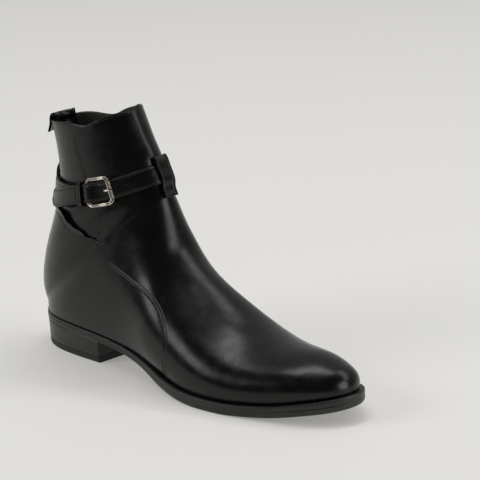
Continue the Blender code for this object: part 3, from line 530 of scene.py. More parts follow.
# Sections of the last from toe to collar, each in a plane across the boot, from its foot to its ridge:
# name, run, foot (share of length), foot rise (of shaft rise), ridge (share of length),
# ridge rise (of instep rise), tuck outer and inner (of ball width), fullness, ridge shift (of ball width)
SECTIONS = [
    ("tip", 0, 0.9863, 0.000, 0.9863, 0.000, 0.000, 0.000, 1.00, 0.000),
    ("toe", 12, 0.9768, 0.000, 0.9732, 0.146, 0.050, 0.050, 1.00, 0.000),
    ("toe_end", 26, 0.9487, 0.000, 0.9405, 0.230, 0.080, 0.080, 1.00, 0.000),
    ("cap", 46, 0.8948, 0.000, 0.8850, 0.321, 0.100, 0.100, 1.02, 0.000),
    ("vamp_toe", 76, 0.8007, 0.000, 0.7908, 0.389, 0.120, 0.120, 1.04, 0.005),
    ("ball", 116, 0.6797, 0.000, 0.6732, 0.515, 0.140, 0.147, 1.06, 0.020),
    ("joint", 150, 0.5752, 0.000, 0.5817, 0.699, 0.180, 0.196, 1.08, 0.030),
    ("waist", 184, 0.4575, 0.000, 0.4912, 0.859, 0.270, 0.275, 1.06, 0.030),
    ("instep", 216, 0.3399, 0.000, 0.4554, 1.008, 0.250, 0.266, 1.04, 0.020),
    ("seat", 246, 0.2288, 0.000, 0.4356, 1.145, 0.211, 0.206, 1.02, 0.010),
    ("heel_low", 270, 0.1242, 0.000, 0.4243, 1.240, 0.218, 0.206, 1.00, 0.005),
    ("heel_in", 290, 0.0392, 0.000, 0.4172, 1.296, 0.290, 0.274, 1.00, 0.000),
    ("heel_back", 304, 0.0000, 0.000, 0.4067, 1.338, 0.352, 0.338, 1.00, 0.000),
    ("counter", 320, -0.0106, 0.125, 0.3978, 1.398, 0.350, 0.338, 1.00, 0.000),
    ("heel_top", 342, 0.0236, 0.337, 0.3855, 1.490, 0.330, 0.324, 1.00, 0.000),
    ("ankle", 364, 0.0654, 0.535, 0.3769, 1.601, 0.303, 0.302, 1.00, 0.000),
    ("strap", 384, 0.0696, 0.708, 0.3575, 1.710, 0.290, 0.293, 1.00, 0.000),
    ("shaft", 404, 0.0614, 0.853, 0.3390, 1.825, 0.280, 0.289, 1.00, 0.000),
    ("collar", 424, 0.0450, 0.999, 0.3183, 1.965, 0.276, 0.287, 1.00, 0.000),
    ("peak", 444, 0.0250, 1.130, 0.2980, 2.100, 0.274, 0.287, 1.00, 0.000),
]
HEEL_ROW = column(SECTIONS, 0).index("heel_back")
HEEL_RUN, HEEL_ROUND = SECTIONS[HEEL_ROW][1], 16.0
FEATHER_SIDE = [side_curve(side, feather_inset, 900) for side in (0, 1)]
# Top edge: share of the half girth from the back, run at the edge on the outer and on the inner side
TOP_EDGE = [(0.00, 424.0, 424.0), (0.09, 424.6, 425.2), (0.16, 424.6, 423.0), (0.215, 424.0, 420.2),
            (0.262, 422.0, 423.6), (0.302, 419.5, 425.6), (0.343, 422.4, 427.4), (0.385, 425.4, 429.2),
            (0.430, 427.3, 430.6), (0.475, 427.6, 431.8), (0.500, 429.6, 429.6)]
TOP_RUN, TRIM_RUN = 429.6, 392.0


def section_values(run):
    """Foot, ridge, tucks, fullness, shift and feather half widths at a run along the boot."""
    runs = column(SECTIONS, 1)
    foot = np.array(column(SECTIONS, 2)) * SOLE_LENGTH
    behind = run > HEEL_RUN
    seat = float(feather_height(foot[HEEL_ROW]))
    low = spline(runs[:HEEL_ROW + 1], foot[:HEEL_ROW + 1], np.minimum(run, HEEL_RUN), (0.0, 0.0))
    high = spline(runs[HEEL_ROW:], foot[HEEL_ROW:], np.maximum(run, HEEL_RUN))
    climb = spline(runs[HEEL_ROW:], column(SECTIONS[HEEL_ROW:], 3), np.maximum(run, HEEL_RUN))
    foot_x = np.where(behind, high, low)
    foot_z = np.where(behind, seat + SHAFT_RISE * climb, feather_height(low))
    base = np.where(np.arange(len(runs)) > HEEL_ROW, seat, feather_height(foot))
    ridge_x = spline(runs, np.array(column(SECTIONS, 4)) * SOLE_LENGTH, run, (0.0, None))
    ridge_z = spline(runs, base + np.array(column(SECTIONS, 5)) * INSTEP_RISE, run)
    tuck = [spline(runs, np.array(column(SECTIONS, i)) * BALL_WIDTH, run) for i in (6, 7)]
    full = spline(runs, column(SECTIONS, 8), run)
    shift = spline(runs, np.array(column(SECTIONS, 9)) * BALL_WIDTH, run, (0.0, None))
    half = [np.where(behind, 0.0, np.interp(low, *side)) for side in FEATHER_SIDE]
    return foot_x, foot_z, ridge_x, ridge_z, tuck, full, shift, half


def section_point(run, girth):
    """Point of one section of the last."""
    foot_x, foot_z, ridge_x, ridge_z, tuck, full, shift, half = section_values(run)
    outer = girth <= 0.5
    t = np.where(outer, 2 * girth, 2 - 2 * girth)
    c, f = np.where(outer, tuck[0], tuck[1]), np.where(outer, half[0], half[1])
    width = np.hypot(c, f)
    start = -np.arctan2(c, f + 1e-9)
    angle = start + (math.pi / 2 - start) * t
    h = (np.sin(angle) - np.sin(start)) / (1 - np.sin(start))
    cosine = np.maximum(np.cos(angle), 0)
    y = width * np.where(angle > 0, cosine ** full, cosine)
    x = foot_x + (ridge_x - foot_x) * h
    y = np.where(outer, -y, y) + shift * h * h + swing(foot_x)
    return np.stack([x, y, foot_z + (ridge_z - foot_z) * h], -1)


def last(run, girth):
    """Point on the outer face of the upper; girth runs from 0 outside, over the ridge at 0.5, to 1 inside."""
    run, girth = np.broadcast_arrays(np.asarray(run, float), np.asarray(girth, float))
    side = np.minimum(girth, 1 - girth)
    reach = HEEL_ROUND * ease((side - 0.008) / 0.11) * (0.4 + 0.6 * ease((side - 0.10) / 0.08))
    reach = reach * ease(1.15 - np.abs(run - HEEL_RUN) / (2.2 * HEEL_ROUND))
    point = section_point(run, girth)
    turn = reach > 0.01
    if turn.any():
        steps = np.linspace(-1, 1, 9)
        weights = (1 - 0.9 * steps ** 2) / (1 - 0.9 * steps ** 2).sum()
        point[turn] = sum(w * section_point(run[turn] + s * reach[turn], girth[turn])
                          for s, w in zip(steps, weights))
    return point


def outward(run, girth):
    """Unit normal of the last."""
    run, girth = np.broadcast_arrays(np.asarray(run, float), np.asarray(girth, float))
    u = np.maximum(run, 1.0)
    du = last(u + 0.4, girth) - last(u - 0.4, girth)
    lo, hi = np.maximum(girth - 0.004, 0), np.minimum(girth + 0.004, 1)
    n = np.cross(last(u, hi) - last(u, lo), du)
    seam = (run >= HEEL_RUN - 0.01) & ((girth < 0.001) | (girth > 0.999))
    n[..., 1] = np.where(seam, 0, n[..., 1])
    return n / np.linalg.norm(n, axis=-1, keepdims=True)


def lifted(run, girth, distance):
    return last(run, girth) + outward(run, girth) * np.asarray(distance, float)[..., None]


def top_run(girth):
    """Run of the top edge at a girth."""
    side = np.minimum(girth, 1 - girth)
    both = [spline(column(TOP_EDGE, 0), column(TOP_EDGE, i), side, (0.0, 0.0)) for i in (1, 2)]
    return np.where(girth <= 0.5, *both)


LINING_OUT, LINING_IN, LINING_TOE = 1.35, 2.5, 7.0
bm, i, j, k = block(110, 96)
girth = j / 96
up = i / 110
run = LINING_TOE + (TOP_RUN - LINING_TOE) * up + (top_run(girth) - TOP_RUN - 0.5) * up ** 8
settle(bm, lifted(run, girth, -np.where(k == 1, LINING_OUT, LINING_IN)))
# The two halves meet behind the heel, where the faces between them come out
seam = (run > HEEL_RUN) & (i > 0) & ((j == 0) | (j == 96))
bm.verts.index_update()
shut = [f for f in bm.faces if all(seam[v.index] for v in f.verts)]
bmesh.ops.delete(bm, geom=shut, context="FACES_ONLY")
soften(bm, 0.35, [(i == 110) & (k == 0), (i == 110) & (k == 1)])
piece(bm, "upper_lining", lining_leather, "insole_leather")

# Vamp
# Forepart and front panel of the shaft in one piece of black calf, laid over the quarter and
# the back panel and sewn down with two rows of stitches along its edge.
VAMP_LEATHER = 1.1
# Edge of the vamp: run, share of the girth
VAMP_EDGE = [
    (161, 0.000), (161, 0.060), (161.2, 0.120), (163, 0.168), (167, 0.206), (172, 0.231), (177, 0.248),
    (182, 0.257), (189, 0.260), (198, 0.256), (207, 0.249), (219, 0.235), (233, 0.224), (244, 0.218),
    (253, 0.215), (260, 0.216), (268, 0.225), (277, 0.240), (290, 0.268), (296, 0.286), (303, 0.303),
    (310, 0.313), (318, 0.318), (326, 0.316), (335, 0.310), (353, 0.285), (375, 0.256), (386, 0.251),
    (397, 0.243), (404, 0.242), (410, 0.247), (413, 0.256), (415, 0.268), (417, 0.283), (419, 0.297),
    (420.6, 0.315),
]


def vamp_edge(count):
    """Run and girth at even steps of length along the edge of the vamp."""
    knots = np.array(VAMP_EDGE)
    steps = np.hypot(np.diff(knots[:, 0]), 230 * np.diff(knots[:, 1]))
    at = np.r_[0, np.cumsum(steps)]
    fine = np.linspace(0, at[-1], 4000)
    run, girth = spline(at, knots[:, 0], fine), spline(at, knots[:, 1], fine)
    points = last(run, girth)
    arc = np.r_[0, np.cumsum(np.linalg.norm(np.diff(points, axis=0), axis=1))]
    even_at = np.linspace(0, arc[-1], count)
    return np.interp(even_at, arc, run), np.interp(even_at, arc, girth)


def inner_run(run):
    """Run on the inner side that matches one on the outer side, where the top edge is higher."""
    stretch = (top_run(np.array(0.685)) - TRIM_RUN) / (VAMP_EDGE[-1][0] - TRIM_RUN)
    return np.where(run > TRIM_RUN, TRIM_RUN + (run - TRIM_RUN) * stretch, run)


def mark(bm, name, values):
    """Stores a value at each vertex for the material."""
    layer = bm.verts.layers.float.new(name)
    for v, value in zip(bm.verts, values):
        v[layer] = float(value)


def distance_from(points, line):
    """Distance of each point from the nearest of a fine line of points."""
    found = np.empty(len(points))
    for s in range(0, len(points), 2000):
        part = points[s:s + 2000]
        found[s:s + 2000] = np.sqrt(((part[:, None] - line[None]) ** 2).sum(-1).min(1))
    return found


FORE_ROWS, EDGE_ROWS, ACROSS = 80, 150, 120
rows = FORE_ROWS + EDGE_ROWS
edge_run, edge_girth = vamp_edge(EDGE_ROWS + 1)
side_run = np.r_[np.linspace(0, VAMP_EDGE[0][0], FORE_ROWS + 1)[:-1], edge_run]
side_girth = np.r_[np.zeros(FORE_ROWS), edge_girth]
middle_run = np.linspace(0, 1, rows + 1)
middle_run = TOP_RUN * (middle_run + 0.02 * np.sin(np.pi * middle_run))


def vamp_place(i, j):
    """Run and girth of the vamp's grid, whose rows bow down to follow its edge."""
    share = j / ACROSS
    girth = side_girth[i] + (1 - 2 * side_girth[i]) * share
    level, outer_level, inner_level = [(top_run(g) - TOP_RUN) * (i / rows) ** 8
                                       for g in (girth, side_girth[i], 1 - side_girth[i])]
    pull = np.abs(2 * share - 1) ** 2.2
    ends = np.where(share < 0.5, side_run[i] - outer_level, inner_run(side_run[i]) - inner_level)
    return middle_run[i] + (ends - middle_run[i]) * pull + level, girth


# Smooth polished calf: soft hollows, fine pores, uneven polish
calf_grain, takes, gives = group_of("calf_grain", [("Wave Depth", "Float"), ("Pore Depth", "Float")],
                                    [("Color", "Color"), ("Roughness", "Float"), ("Normal", "Vector")])
waves, pores, polish = [noise_of(calf_grain, *fineness) for fineness in ((38, 2), (1500, 2), (120, 4))]
tint = blend_of(calf_grain, spread(calf_grain, waves, 0, 1),
                (0.0024, 0.0024, 0.0023, 1), (0.0042, 0.0040, 0.0037, 1))
calf_grain.links.new(tint, gives["Color"])
calf_grain.links.new(spread(calf_grain, polish, 0.22, 0.31), gives["Roughness"])
hollows = bump_of(calf_grain, waves, takes["Wave Depth"])
calf_grain.links.new(bump_of(calf_grain, pores, takes["Pore Depth"], hollows), gives["Normal"])

# Line pressed into the leather at a distance from its edge, where the stitches pull it down
stitch_groove, takes, gives = group_of("stitch_groove", [("Distance", "Float"), ("Edge", "Float")],
                                       [("Height", "Float")])
gap = stitch_groove.nodes.new("ShaderNodeMath")
gap.operation = "SUBTRACT"
stitch_groove.links.new(takes["Edge"], gap.inputs[0])
stitch_groove.links.new(takes["Distance"], gap.inputs[1])
groove = range_of(stitch_groove, math_of(stitch_groove, "ABSOLUTE", gap.outputs["Value"]), 0.1, 0.75,
                  kind="SMOOTHSTEP")
stitch_groove.links.new(groove, gives["Height"])


def calf_of(name, rows_at):
    """Polished black calf with a pressed line under each of its rows of stitches."""
    mat, shader, tree = shader_of(name, (0.003, 0.003, 0.003), 0.27)
    shader.inputs["Specular IOR Level"].default_value = 0.32
    grain = placed(tree, calf_grain, 0.35 * MM, 0.012 * MM)
    tree.links.new(grain["Color"], shader.inputs["Base Color"])
    tree.links.new(grain["Roughness"], shader.inputs["Roughness"])
    low = grain["Normal"]
    if rows_at:
        edge = tree.nodes.new("ShaderNodeAttribute")
        edge.attribute_name = "edge"
        for at in rows_at:
            line = placed(tree, stitch_groove, at)
            tree.links.new(edge.outputs["Fac"], line["Height"].node.inputs["Edge"])
            low = bump_of(tree, line["Height"], 0.10 * MM, low)
    tree.links.new(low, shader.inputs["Normal"])
    return mat


black_calf = calf_of("black_calf", (1.3, 3.2))
bm, i, j, k = block(rows, ACROSS)
run, girth = vamp_place(i, j)
points = lifted(run, girth, np.where(k == 1, 0.1, 0.1 - VAMP_LEATHER))
tip = i == 0
points[tip] = last(0.0, 0.5) + np.where(k[tip, None] == 1, [[0.05, 0, 0]], [[-VAMP_LEATHER, 0, 0]])
settle(bm, points)
fine = np.linspace(0, EDGE_ROWS, 900)
rim = np.concatenate([np.stack([np.interp(fine, np.arange(EDGE_ROWS + 1), side[:, c]) for c in range(3)], -1)
                      for side in (last(edge_run, edge_girth), last(inner_run(edge_run), 1 - edge_girth))])
mark(bm, "edge", distance_from(points, rim))
soften(bm, 0.4, [(j == 0) & (k == 1) & (i >= FORE_ROWS), (j == ACROSS) & (k == 1) & (i >= FORE_ROWS),
                 (i == rows) & (k == 1)])
piece(bm, "upper_vamp", black_calf, "black_calf", "upper")

# Back panel
# The rear of the shaft in black calf, under the front panel's edge and behind the quarter.
PANEL_OUT, PANEL_IN = -0.75, -1.5
PANEL_UNDER = 0.014
quarter_calf = calf_of("quarter_calf", (2.2,))
bm, i, j, k = block(70, 100)
across = j / 100
edge_at = np.interp(np.linspace(300, 424, 70 + 1), edge_run, edge_girth)
reach = edge_at[i] + PANEL_UNDER
girth = np.where(across < 0.5, reach * (1 - 2 * across), 1 - reach * (2 * across - 1))
side = np.minimum(girth, 1 - girth)
low = 352 - 52 * (side / 0.29) ** 1.3
run = low + (top_run(girth) - low) * i / 70
settle(bm, lifted(run, girth, np.where(k == 1, PANEL_OUT, PANEL_IN)))
rim = last(top_run(np.linspace(0, 1, 600)), np.linspace(0, 1, 600))
mark(bm, "edge", distance_from(lifted(run, girth, 0 * run), rim))
soften(bm, 0.3, [(i == 70) & (k == 1)])
piece(bm, "upper_back_panel", quarter_calf, "black_calf")

# Quarter
# Heel part in black calf round the back, sewn under the vamp. Its top edge swings free
# behind the ankle and stands a little off the shaft.
QUARTER_OUT, QUARTER_LEATHER = -0.65, 0.95
QUARTER_UNDER = 0.012
# share along its half, run at the bottom, run and girth at the top, bend of the line between
QUARTER = [
    (0.00, 163, 176, 1.0, 4.4), (0.07, 176, 191, 1.0, 3.0), (0.14, 188, 205, 1.0, 2.2),
    (0.21, 200, 221, 1.0, 1.8), (0.29, 213, 240, 1.0, 1.5), (0.35, 224, 254, 1.0, 1.3),
    (0.40, 231, 264, 1.0, 1.2), (0.45, 238, 278, 1.0, 1.1), (0.49, 244, 288, 1.0, 1.1),
    (0.53, 249, 296, 0.278, 1.1), (0.57, 254, 303, 0.286, 1.1), (0.63, 261, 315, 0.283, 1.1),
    (0.70, 270, 330, 0.257, 1.1), (0.78, 279, 342, 0.226, 1.1), (0.86, 288, 355, 0.183, 1.1),
    (0.92, 295, 363, 0.115, 1.1), (1.00, 304, 367, 0.000, 1.1),
]
# Stand-off at the free edge: share along its half, distance
STAND_OFF = [
    (0.0, 0.0), (0.49, 0.0), (0.54, 0.6), (0.60, 1.9), (0.74, 3.6), (0.86, 4.2), (0.93, 3.6), (1.0, 2.6),
]


def quarter_place(along, up):
    """Run, girth and extra distance of a point of the quarter; along is 0 at one seam and 1 at the other."""
    share = 1 - abs(2 * along - 1)
    low, high, girth, bend = [even(column(QUARTER, 0), column(QUARTER, c), share) for c in (1, 2, 3, 4)]
    under = QUARTER_UNDER * (1 - 1.5 * ease((share - 0.48) / 0.05))
    girth = np.minimum(girth, np.interp(high, edge_run, edge_girth) + under)
    side = girth * up
    run = low + (high - low) * up ** bend
    front = edge_run < VAMP_EDGE[0][0] + 25
    run = np.maximum(run, np.interp(side, edge_girth[front], edge_run[front]) - 2.5)
    stand = even(column(STAND_OFF, 0), column(STAND_OFF, 1), share) * ease((up - 0.5) / 0.5)
    return run, np.where(along <= 0.5, side, 1 - side), stand


bm, i, j, k = block(260, 56)
run, girth, stand = quarter_place(i / 260, j / 56)
distance = np.where(k == 1, QUARTER_OUT, QUARTER_OUT - QUARTER_LEATHER) + stand
points = lifted(run, girth, distance)
flat = outward(run, girth)
flat[:, 2] = 0
flat /= np.linalg.norm(flat, axis=-1, keepdims=True)
points[j == 0] = (last(run, girth) + flat * distance[:, None] - [0, 0, 0.35])[j == 0]
points[i == 130, 1] = 0
settle(bm, points)
top = np.linspace(0.24, 0.76, 900)
top_line = lifted(*quarter_place(top, 1 + 0 * top))
mark(bm, "edge", distance_from(points, top_line))
soften(bm, 0.3, [(j == 56) & (k == 1), (j == 56) & (k == 0)])
piece(bm, "upper_quarter", quarter_calf, "black_calf", "quarter")

# Stitches of the upper
# Two rows along the vamp's edge, one along the collar and one along the quarter's free edge,
# with short tacks where the seams take strain.
def inside_line(run, girth, inset, height):
    """Line moved in from an edge of the last, with its outward directions."""
    points, n = last(run, girth), outward(run, girth)
    ahead = np.gradient(points, axis=0)
    inward = np.cross(n, ahead)
    inward /= np.linalg.norm(inward, axis=1, keepdims=True)
    return points + inward * inset + n * np.asarray(height)[..., None], n


sewing = bmesh.new()
for flip in (1, -1):
    run, girth = vamp_edge(600)
    if flip < 0:
        run, girth = inner_run(run), 1 - girth
    for inset in (1.3, 3.2):
        line, n = inside_line(run, girth, -flip * inset, 0.1 + 0 * run)
        sew(sewing, line[8:-6], n[8:-6])
piece(sewing, "vamp_stitches", black_thread, "black_calf")

sewing = bmesh.new()
for first, stop, height in ((-0.24, 0.24, PANEL_OUT), (0.325, 0.675, 0.1)):
    girth = np.linspace(first, stop, 500) % 1.0
    run = top_run(girth) - 2.2
    sew(sewing, lifted(run, girth, height + 0 * run), outward(run, girth))
piece(sewing, "collar_stitches", black_thread, "black_calf")

sewing = bmesh.new()
along = np.linspace(0.262, 0.738, 900)
up = 1 - 2.0 / 62 + 0 * along
run, girth, stand = quarter_place(along, up)
sew(sewing, lifted(run, girth, QUARTER_OUT + stand), outward(run, girth))
# Short rows on the quarter beside the seam, and tacks: run and girth from one end to the other, rise
TACKS = [
    ((277.5, 0.216), (260, 0.213), QUARTER_OUT), ((287.5, 0.272), (279, 0.257), 0.1),
    ((187, 0.277), (182.5, 0.271), 0.1), ((182.5, 0.271), (178, 0.276), 0.1),
    ((178, 0.276), (175.5, 0.290), 0.1), ((175.5, 0.290), (179, 0.302), 0.1),
]
for (run_a, girth_a), (run_b, girth_b), height in TACKS:
    run, girth = np.linspace(run_a, run_b, 60), np.linspace(girth_a, girth_b, 60)
    sew(sewing, lifted(run, girth, height + 0 * run), outward(run, girth))
piece(sewing, "quarter_stitches", black_thread, "black_calf")

# Ankle strap
# One strap of doubled calf: it starts under the buckle's bar, goes round the back, the inside
# and the front, then passes over the bar and lies on itself to a pointed tip.
STRAP_WIDTH, STRAP_LEATHER, LAYER_GAP = 14.2, 1.7, 0.4
# girth, run of its middle, distance of its inner face from the upper, lean of its upper edge inward
STRAP_LINE = [(0.00, 379, 3.0, 1.2), (0.06, 378, 2.6, 1.0), (0.12, 375, 2.2, 0.6), (0.18, 369.5, 2.0, 0.2),
              (0.24, 363, 1.9, 0.0), (0.29, 355.5, 1.8, 0.0), (0.35, 346, 1.5, 0.0), (0.42, 337, 1.3, 0.0),
              (0.50, 332, 1.3, 0.0)]
TIP_DROP, STRAP_START, STRAP_TIP = 4.5, 0.301, 0.115
BAR_SHARE, FRAME_END, HOLE_SHARE, KEEPER_SHARE = 0.290, 0.356, 0.343, 0.264
FRAME_LENGTH, FRAME_WIDTH, WIRE, CLEAR = 20.5, 19.5, 2.0, 0.3
HOLE_PITCH, HOLE_SIZE = 8.2, 1.0


def strap_line(share, i):
    side = np.minimum(share % 1.0, 1 - share % 1.0)
    return spline(column(STRAP_LINE, 0), column(STRAP_LINE, i), side, (0.0, 0.0))


def strap_frame(share, across, rise, drop=0.0):
    """Point of the strap's ring at a girth share from the back, across its width and above its inner line."""
    share, across, rise = np.broadcast_arrays(np.asarray(share, float), across, rise)
    run = strap_line(share, 1) - drop
    centre, n = last(run, share % 1.0), outward(run, share % 1.0)
    up = last(run + 1.5, share % 1.0) - last(run - 1.5, share % 1.0)
    a, b = share - 0.004, share + 0.004
    ahead = last(strap_line(b, 1), b % 1.0) - last(strap_line(a, 1), a % 1.0)
    wide = np.cross(ahead, n)
    wide /= np.linalg.norm(wide, axis=-1, keepdims=True)
    wide *= np.sign((wide * up).sum(-1, keepdims=True))
    lean = strap_line(share, 3) * across / (STRAP_WIDTH / 2)
    return centre + n * (strap_line(share, 2) + rise - lean)[..., None] + wide * across[..., None]


def strap_place(turn, across, rise):
    """Point of the strap; turn goes from the buckle's bar, round the boot once, to the tip."""
    share = 1 - turn
    second = ease((0.41 - share) / 0.06) * (turn > 0.5)
    past = share - BAR_SHARE - 0.004
    over_bar = (WIRE + 2 * CLEAR) * np.exp(-(past / np.where(past < 0, 0.0125, 0.022)) ** 2) * (turn > 0.5)
    drop = TIP_DROP * ease((turn - 1 + STRAP_START) / (STRAP_START - STRAP_TIP)) * (turn > 0.5)
    return strap_frame(-turn % 1.0, across, second * (STRAP_LEATHER + LAYER_GAP) + over_bar + rise, drop)


def long_edges(j, k, across, levels=1):
    return [(j == a) & (k == b) for a in (0, across) for b in (0, levels)]


def strap_calf(name):
    """Calf of the strap, with its pressed edge lines and round holes, whose near-black colour is painted
    shade inside them.
    """
    mat = calf_of(name, (1.7,))
    tree = mat.node_tree
    shader = tree.nodes["Principled BSDF"]
    place = tree.nodes.new("ShaderNodeCombineXYZ")
    for axis, layer in (("X", "hole_along"), ("Y", "hole_across")):
        value = tree.nodes.new("ShaderNodeAttribute")
        value.attribute_name = layer
        out = value.outputs["Fac"]
        if axis == "X":
            out = math_of(tree, "PINGPONG", out, HOLE_PITCH / 2)
        tree.links.new(out, place.inputs[axis])
    size = tree.nodes.new("ShaderNodeVectorMath")
    size.operation = "LENGTH"
    tree.links.new(place.outputs["Vector"], size.inputs[0])
    hole = range_of(tree, size.outputs["Value"], 0.7 * HOLE_SIZE, HOLE_SIZE)
    below = shader.inputs["Normal"].links[0].from_socket
    tree.links.new(bump_of(tree, hole, 0.5 * MM, below), shader.inputs["Normal"])
    colour = shader.inputs["Base Color"].links[0].from_socket
    # The near-black colour in each hole is painted shade, standing for the shadow down inside the hole.
    tree.links.new(blend_of(tree, hole, (0.001, 0.001, 0.001, 1), colour), shader.inputs["Base Color"])
    return mat


def tip_share(turn):
    """Width of the strap as a share, drawn in to its pointed tip."""
    past = turn - (1 - STRAP_TIP) + TIP_TURN
    return 1 - 0.80 * np.clip(past / TIP_TURN, 0, 1) ** 1.9


strap_leather = strap_calf("strap_calf")
LONG, TIP_TURN = 420, 0.034
bm, i, j, k = block(LONG, 10)
first, stop = -STRAP_START, 1 - STRAP_TIP
turn = first + (stop - first) * i / LONG
tip = tip_share(turn)
across = STRAP_WIDTH * (j / 10 - 0.5) * tip
settle(bm, strap_place(turn, across, STRAP_LEATHER * k))
mark(bm, "edge", STRAP_WIDTH / 2 * tip - np.abs(across))
mark(bm, "hole_along", (1 - HOLE_SHARE - turn) * FRAME_LENGTH / (FRAME_END - BAR_SHARE))
holed = (turn > 0.60) & (turn < 0.73)
mark(bm, "hole_across", np.abs(across) + np.where(holed, 0.0, 60.0))
soften(bm, 0.5, long_edges(j, k, 10) + [(i == LONG) & (k == b) for b in (0, 1)])
piece(bm, "strap", strap_leather, "black_calf", "ankle_strap")

sewing = bmesh.new()
turn = np.linspace(first + 0.02, stop - 0.004, 1400)
tip = tip_share(turn)
for side in (-1, 1):
    at = side * (STRAP_WIDTH / 2 * tip - 1.7)
    line = strap_place(turn, at, STRAP_LEATHER)
    n = line - strap_place(turn, at, 0.0)
    sew(sewing, line, n, 2.3, 1.5, 0.5, 0.06)
piece(sewing, "strap_stitches", black_thread, "black_calf")

# Keeper
# Narrow loop of calf round both layers of the strap, behind the buckle.
KEEPER_WIDTH = 5.6


def rounded(half_long, half_wide, corner, count):
    """Rounded rectangle: places at even steps, and outward directions there."""
    places, ways = [], []
    for cx, cy, start in ((1, 1, 0), (-1, 1, 90), (-1, -1, 180), (1, -1, 270)):
        a = np.radians(np.linspace(start, start + 90, 9))
        way = np.stack([np.cos(a), np.sin(a)], -1)
        places.append(np.array([cx * (half_long - corner), cy * (half_wide - corner)]) + corner * way)
        ways.append(way)
    places, ways = np.concatenate(places + [places[0][:1]]), np.concatenate(ways + [ways[0][:1]])
    arc = np.r_[0, np.cumsum(np.hypot(*np.diff(places, axis=0).T))]
    at = np.linspace(0, arc[-1], count + 1)
    both = [np.stack([np.interp(at, arc, p[:, c]) for c in (0, 1)], -1) for p in (places, ways)]
    return both[0], both[1] / np.linalg.norm(both[1], axis=1, keepdims=True)


def close_ring(bm, i, around):
    """Takes off the two end faces that meet where a block is bent to a ring."""
    bm.verts.index_update()
    ends = [f for f in bm.faces if any(all(i[v.index] == end for v in f.verts) for end in (0, around))]
    bmesh.ops.delete(bm, geom=ends, context="FACES_ONLY")


low, high = -CLEAR - 0.1, 2 * STRAP_LEATHER + LAYER_GAP + CLEAR + 0.2
AROUND = 96
places, ways = rounded(STRAP_WIDTH / 2 + CLEAR + 0.5, (high - low) / 2, 0.9, AROUND)
bm, i, j, k = block(AROUND, 6)
close_ring(bm, i, AROUND)
at = places[i] + ways[i] * 1.1 * k[:, None]
share = KEEPER_SHARE + (j / 6 - 0.5) * KEEPER_WIDTH * (FRAME_END - BAR_SHARE) / FRAME_LENGTH
settle(bm, strap_frame(share, at[:, 0] - 0.4, at[:, 1] + (high + low) / 2))
mark(bm, "edge", np.minimum(j, 6 - j) / 6 * KEEPER_WIDTH)
soften(bm, 0.35, [(j == a) & (k == 1) for a in (0, 6)])
keeper_calf = calf_of("keeper_calf", ())
piece(bm, "keeper", keeper_calf, "black_calf", "strap_keeper")

# Buckle
# Frame of polished pale nickel, its bar under the strap's end, with one prong through a hole
# that rests on the front of the frame.
FRAME_FLAT, FRAME_THICK = 1.9, 1.7

# Pale nickel with fine marks of wear
nickel = worn("polished_nickel", (0.52, 0.47, 0.42), 0.14, 0.004, 220, 2, 900, 3, (1, 1, 1),
              (0.46, 0.41, 0.36, 1), (0.58, 0.53, 0.48, 1), 0.09, 0.2)
nickel.node_tree.nodes["Principled BSDF"].inputs["Metallic"].default_value = 1.0
bar = WIRE / 2 + CLEAR + STRAP_LEATHER
over = 2 * STRAP_LEATHER + LAYER_GAP + CLEAR + WIRE / 2 + 0.3
places, ways = rounded(FRAME_LENGTH / 2, FRAME_WIDTH / 2, 3.2, 160)
bm, i, j, k = block(160, 4, 2)
close_ring(bm, i, 160)
at = places[i] + ways[i] * FRAME_FLAT * (j / 4 - 0.5)[:, None]
t = at[:, 0] / FRAME_LENGTH + 0.5
rise = bar + (over - bar) * ease(t / 0.75) + FRAME_THICK * (k / 2 - 0.5)
settle(bm, strap_frame(BAR_SHARE + (FRAME_END - BAR_SHARE) * t, at[:, 1], rise))
soften(bm, 0.45, [(j == a) & (k == b) for a in (0, 4) for b in (0, 2)])
piece(bm, "buckle_ring", nickel, "buckle_metal", "buckle_frame")

# Prong: share of the girth and rise above the strap's inner line, from the bar to the frame's front
under, top = STRAP_LEATHER * 0.55, over + WIRE
PRONG = [
    (STRAP_START + 0.002, under), (HOLE_SHARE - 0.020, under), (HOLE_SHARE - 0.006, under + 0.1),
    (HOLE_SHARE - 0.0005, under + 1.2), (HOLE_SHARE, under + 2.6), (HOLE_SHARE + 0.001, top - 0.6),
    (HOLE_SHARE + 0.005, top), (FRAME_END - 0.001, top + 0.2), (FRAME_END + 0.003, top + 0.1),
]
PRONG_RADIUS = 0.85
tongue = bpy.data.curves.new("prong", "CURVE")
tongue.dimensions, tongue.bevel_depth = "3D", PRONG_RADIUS * MM
tongue.bevel_resolution, tongue.resolution_u = 4, 6
tongue.use_fill_caps = True
path = tongue.splines.new("NURBS")
path.points.add(len(PRONG) - 1)
for point, (share, rise) in zip(path.points, PRONG):
    p = strap_frame(share, 0.0, rise)
    point.co = ((p[0] - REST_X) * MM, p[1] * MM, p[2] * MM, 1)
path.order_u, path.use_endpoint_u = 3, True
tongue.materials.append(nickel)
prong = bpy.data.objects.new("prong", tongue)
bpy.context.scene.collection.objects.link(prong)
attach(prong, "root")
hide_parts("buckle_prong")

# Loops for the strap
# Two strips of calf that hold the strap, one down the front of the ankle and one down the
# back, each sewn down at its ends.
LOOP_LEATHER = 1.3
strip_calf = calf_of("strip_calf", (1.6,))
# run, distance of the inner face from the upper
FRONT_LOOP = [(281, 0.4), (288, 0.5), (296, 0.8), (304, 1.8), (312, 3.1), (320, 3.8), (329, 4.0), (338, 4.0),
              (347, 3.7), (355, 3.1), (361, 2.3), (363.5, 1.4), (362.5, 0.5)]
BACK_LOOP = [(396, -1.1), (393, 1.2), (389, 4.2), (384, 5.5), (378, 6.4), (372, 7.4), (366, 8.0), (361, 6.4)]


